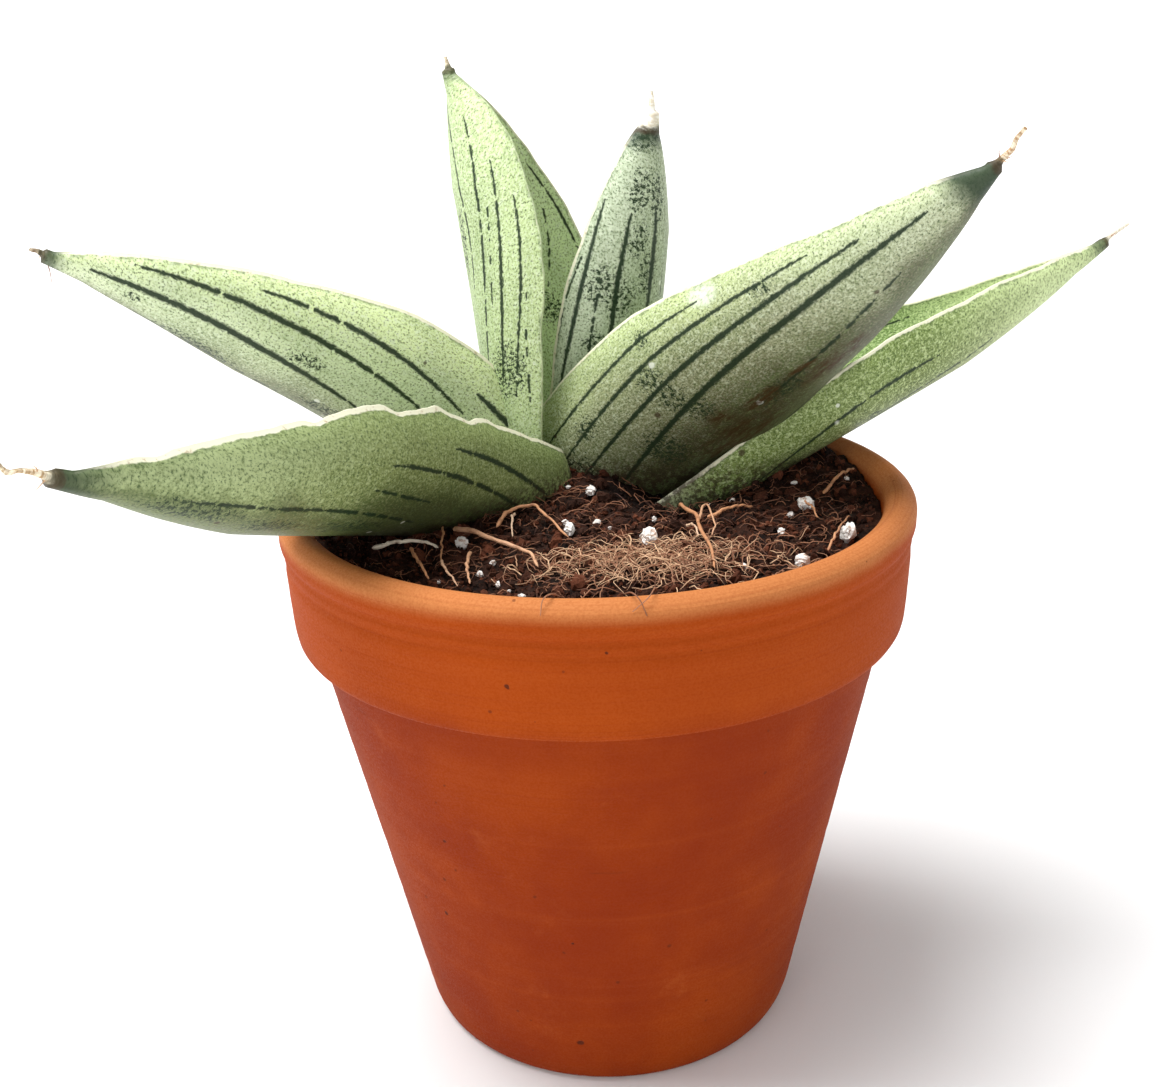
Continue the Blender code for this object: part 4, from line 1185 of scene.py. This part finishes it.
for rootlet_name, rootlet_route, rootlet_tone in (
    ("rootlet_upright", ((-28, -12), (-27.5, -21), (-27, -30)), 0.55),
    ("rootlet_loop", ((18, -19), (19, -14), (20.5, -9), (21, -20), (20, -25)), 0.62),
    ("rootlet_hook", ((16, -19), (17.2, -23), (17.6, -26)), 0.7),
    ("rootlet_right", ((38, -6.5), (39.2, -11), (40, -16)), 0.5),
    ("rootlet_right_front", ((39, -33), (42, -25), (46, -15)), 0.55),
    ("rootlet_front_left", ((-27, -30), (-25.5, -37), (-23, -43)), 0.66),
    ("rootlet_left", ((-15, -11), (-15.4, -16), (-15, -22)), 0.72),
):
    make_root(rootlet_name, rootlet_route, 0.24, rootlet_tone, lift=0.9)


def make_strands():
    """Three short fibres of coir that hang over the rim, each a curve through four points that
    follow the rim's roll out and down."""
    over = (
        ((4.0, -50.0, 106.6), (5.0, -57.0, 109.7), (6.2, -58.9, 109.2), (7.2, -59.45, 106.8)),
        ((-6.0, -50.0, 106.4), (-7.4, -56.4, 109.6), (-8.6, -58.2, 109.4), (-9.0, -59.4, 107.4)),
        ((9.0, -49.0, 106.8), (8.6, -55.4, 109.7), (7.4, -58.6, 109.4), (5.0, -59.5, 107.6)),
    )
    paths = np.stack([through_points(points, 24) for points in over])
    radii = np.full((3, 24), 0.15) * (1 - 0.5 * np.linspace(0, 1, 24))
    show("rim_strands", tube_mesh("rim_strands", paths, radii, 6, np.array([0.3, 0.55, 0.45])), fibre, "root")


make_strands()

# --- Perlite ----------------------------------------------------------------------------------
# Grains of expanded volcanic glass mixed into the soil for drainage: white, light and full of
# pits. The larger ones lie loose on top and many small ones are scattered between the crumbs.

# Each loose grain's x and y from the pot's axis and its size, in millimetres
PERLITE = (
    (39, -8, 4.4), (44, -24, 4.0), (34, -37, 3.0), (9, -25, 3.2), (0, -15, 2.6), (-5, -18, 3.0),
    (-24, -22, 2.6), (-1, 3, 2.4), (-30, 34, 3.4), (24, 42, 3.0),
)


def perlite_finish():
    """White glass foam, faintly stained by the soil in its hollows."""
    finish, bench, shader = new_finish("perlite", 0.85)
    place = bench.place()
    stain = bench.noise(place, 900.0, 4.0, 0.6)
    colour = bench.mix(bench.ease(stain, 0.52, 0.70), (0.84, 0.80, 0.76), (0.42, 0.26, 0.18))
    bench.set(shader.inputs["Base Color"], colour)
    pits = bench.add("TexVoronoi", {"Vector": place, "Scale": 1500.0}).outputs["Distance"]
    bench.bump(shader, pits, 0.0003)
    return finish


white_foam = perlite_finish()
for grain, (grain_x, grain_y, grain_size) in enumerate(PERLITE, 1):
    grain_rng = np.random.default_rng(800 + grain)
    grain_centre = np.array([[grain_x, grain_y, soil_height(grain_x, grain_y) + grain_size * 0.22]])
    grain_name = "perlite_%02d" % grain
    grain_mesh = lumps_mesh(grain_name + "_grain", grain_rng, grain_centre, np.array([grain_size * 0.94]),
                            lump_body(8, 13), np.zeros(1), 0.15)
    show(grain_name + "_grain", grain_mesh, white_foam, "perlite", grain_name)


def make_small_grains():
    """Small grains scattered over the soil, half sunk."""
    rng = np.random.default_rng(61)
    x, y = scatter(rng, 28, 50.0)
    sizes = rng.uniform(0.6, 1.4, 28)
    centres = np.stack([x, y, soil_height(x, y) + 0.35 + 0 * x], axis=1)
    mesh = lumps_mesh("perlite_dust", rng, centres, sizes, lump_body(3, 6), np.zeros(28), 0.2)
    show("perlite_dust", mesh, white_foam, "perlite")


make_small_grains()

# --- Floor, light and camera ------------------------------------------------------------------
# A plain white sweep, a large soft lamp above and to the left, a fill from the front and a pale
# surround. The camera stands a little above the rim and looks down into the pot.

FLOOR_RADIUS = 1.5
SWEEP_HEIGHT = 0.75


def make_floor():
    """A disc whose edge turns up into a wall: flat to its radius, then a quarter circle, then
    straight up, all swept round the middle."""
    curve = np.linspace(0, np.pi / 2, 13)
    out = np.concatenate([[0.0, 0.5, 1.0], FLOOR_RADIUS + 0.3 * np.sin(curve), [FLOOR_RADIUS + 0.3]])
    up = np.concatenate([[0.0, 0.0, 0.0], 0.3 - 0.3 * np.cos(curve), [SWEEP_HEIGHT]])
    turn = np.linspace(0, TAU, 97)
    round_by, out_by = turn[:-1], out[:, None]
    level = up[:, None] + 0 * round_by
    points = np.stack([out_by * np.cos(round_by), out_by * np.sin(round_by), level], axis=-1)
    mesh = sheet_mesh("floor", points, (out, turn))
    paint, bench, shader = new_finish("pale_floor", 0.9)
    shader.inputs["Base Color"].default_value = (0.88, 0.88, 0.88, 1)
    away = bench.add("VectorMath", {0: bench.place()}, operation="LENGTH").outputs["Value"]
    bench.set(shader.inputs["Emission Color"], bench.ease(away, 0.25, 1.3))
    shader.inputs["Emission Strength"].default_value = 0.5
    mesh.materials.append(paint)
    floor = bpy.data.objects.new("floor", mesh)
    bpy.context.scene.collection.objects.link(floor)


make_floor()


def add_lamp(name, place, target, size, watts):
    """A square soft lamp at a place, turned to face its target."""
    data = bpy.data.lights.new(name, "AREA")
    data.size = size
    data.energy = watts
    lamp = bpy.data.objects.new(name, data)
    lamp.location = place
    away = np.array(place, float) - np.array(target, float)
    away /= np.linalg.norm(away)
    lamp.rotation_euler = (math.acos(away[2]), 0, math.atan2(away[0], -away[1]))
    bpy.context.scene.collection.objects.link(lamp)


add_lamp("key", (-0.35, 0.05, 1.15), (0, 0, 0.1), 0.7, 21.0)
add_lamp("fill", (-0.80, -0.75, 0.55), (0, 0, 0.09), 0.9, 2.8)

surround = bpy.data.worlds.new("surround")
surround.use_nodes = True
surround.node_tree.nodes["Background"].inputs["Color"].default_value = (1, 1, 1, 1)
surround.node_tree.nodes["Background"].inputs["Strength"].default_value = 0.35
bpy.context.scene.world = surround
bpy.context.scene.view_settings.view_transform = "Standard"

PAN, TILT, ROLL = -0.0098, 0.3575, -0.0341
view_ahead = np.array([math.sin(PAN) * math.cos(TILT), math.cos(PAN) * math.cos(TILT), -math.sin(TILT)])
view_level = np.array([math.cos(PAN), -math.sin(PAN), 0.0])
view_up = np.cross(view_level, view_ahead)
view_right = math.cos(ROLL) * view_level + math.sin(ROLL) * view_up
view_above = -math.sin(ROLL) * view_level + math.cos(ROLL) * view_up
view_place = AXIS + np.array([0.0, -0.25596, 0.192276])
camera_data = bpy.data.cameras.new("camera")
camera_data.sensor_width = 36.0
camera_data.lens = 43.39
camera_data.clip_start = 0.01
camera = bpy.data.objects.new("camera", camera_data)
view_columns = np.stack([view_right, view_above, -view_ahead, view_place], axis=1)
camera.matrix_world = Matrix(np.vstack([view_columns, [0, 0, 0, 1]]))
bpy.context.scene.collection.objects.link(camera)
bpy.context.scene.camera = camera
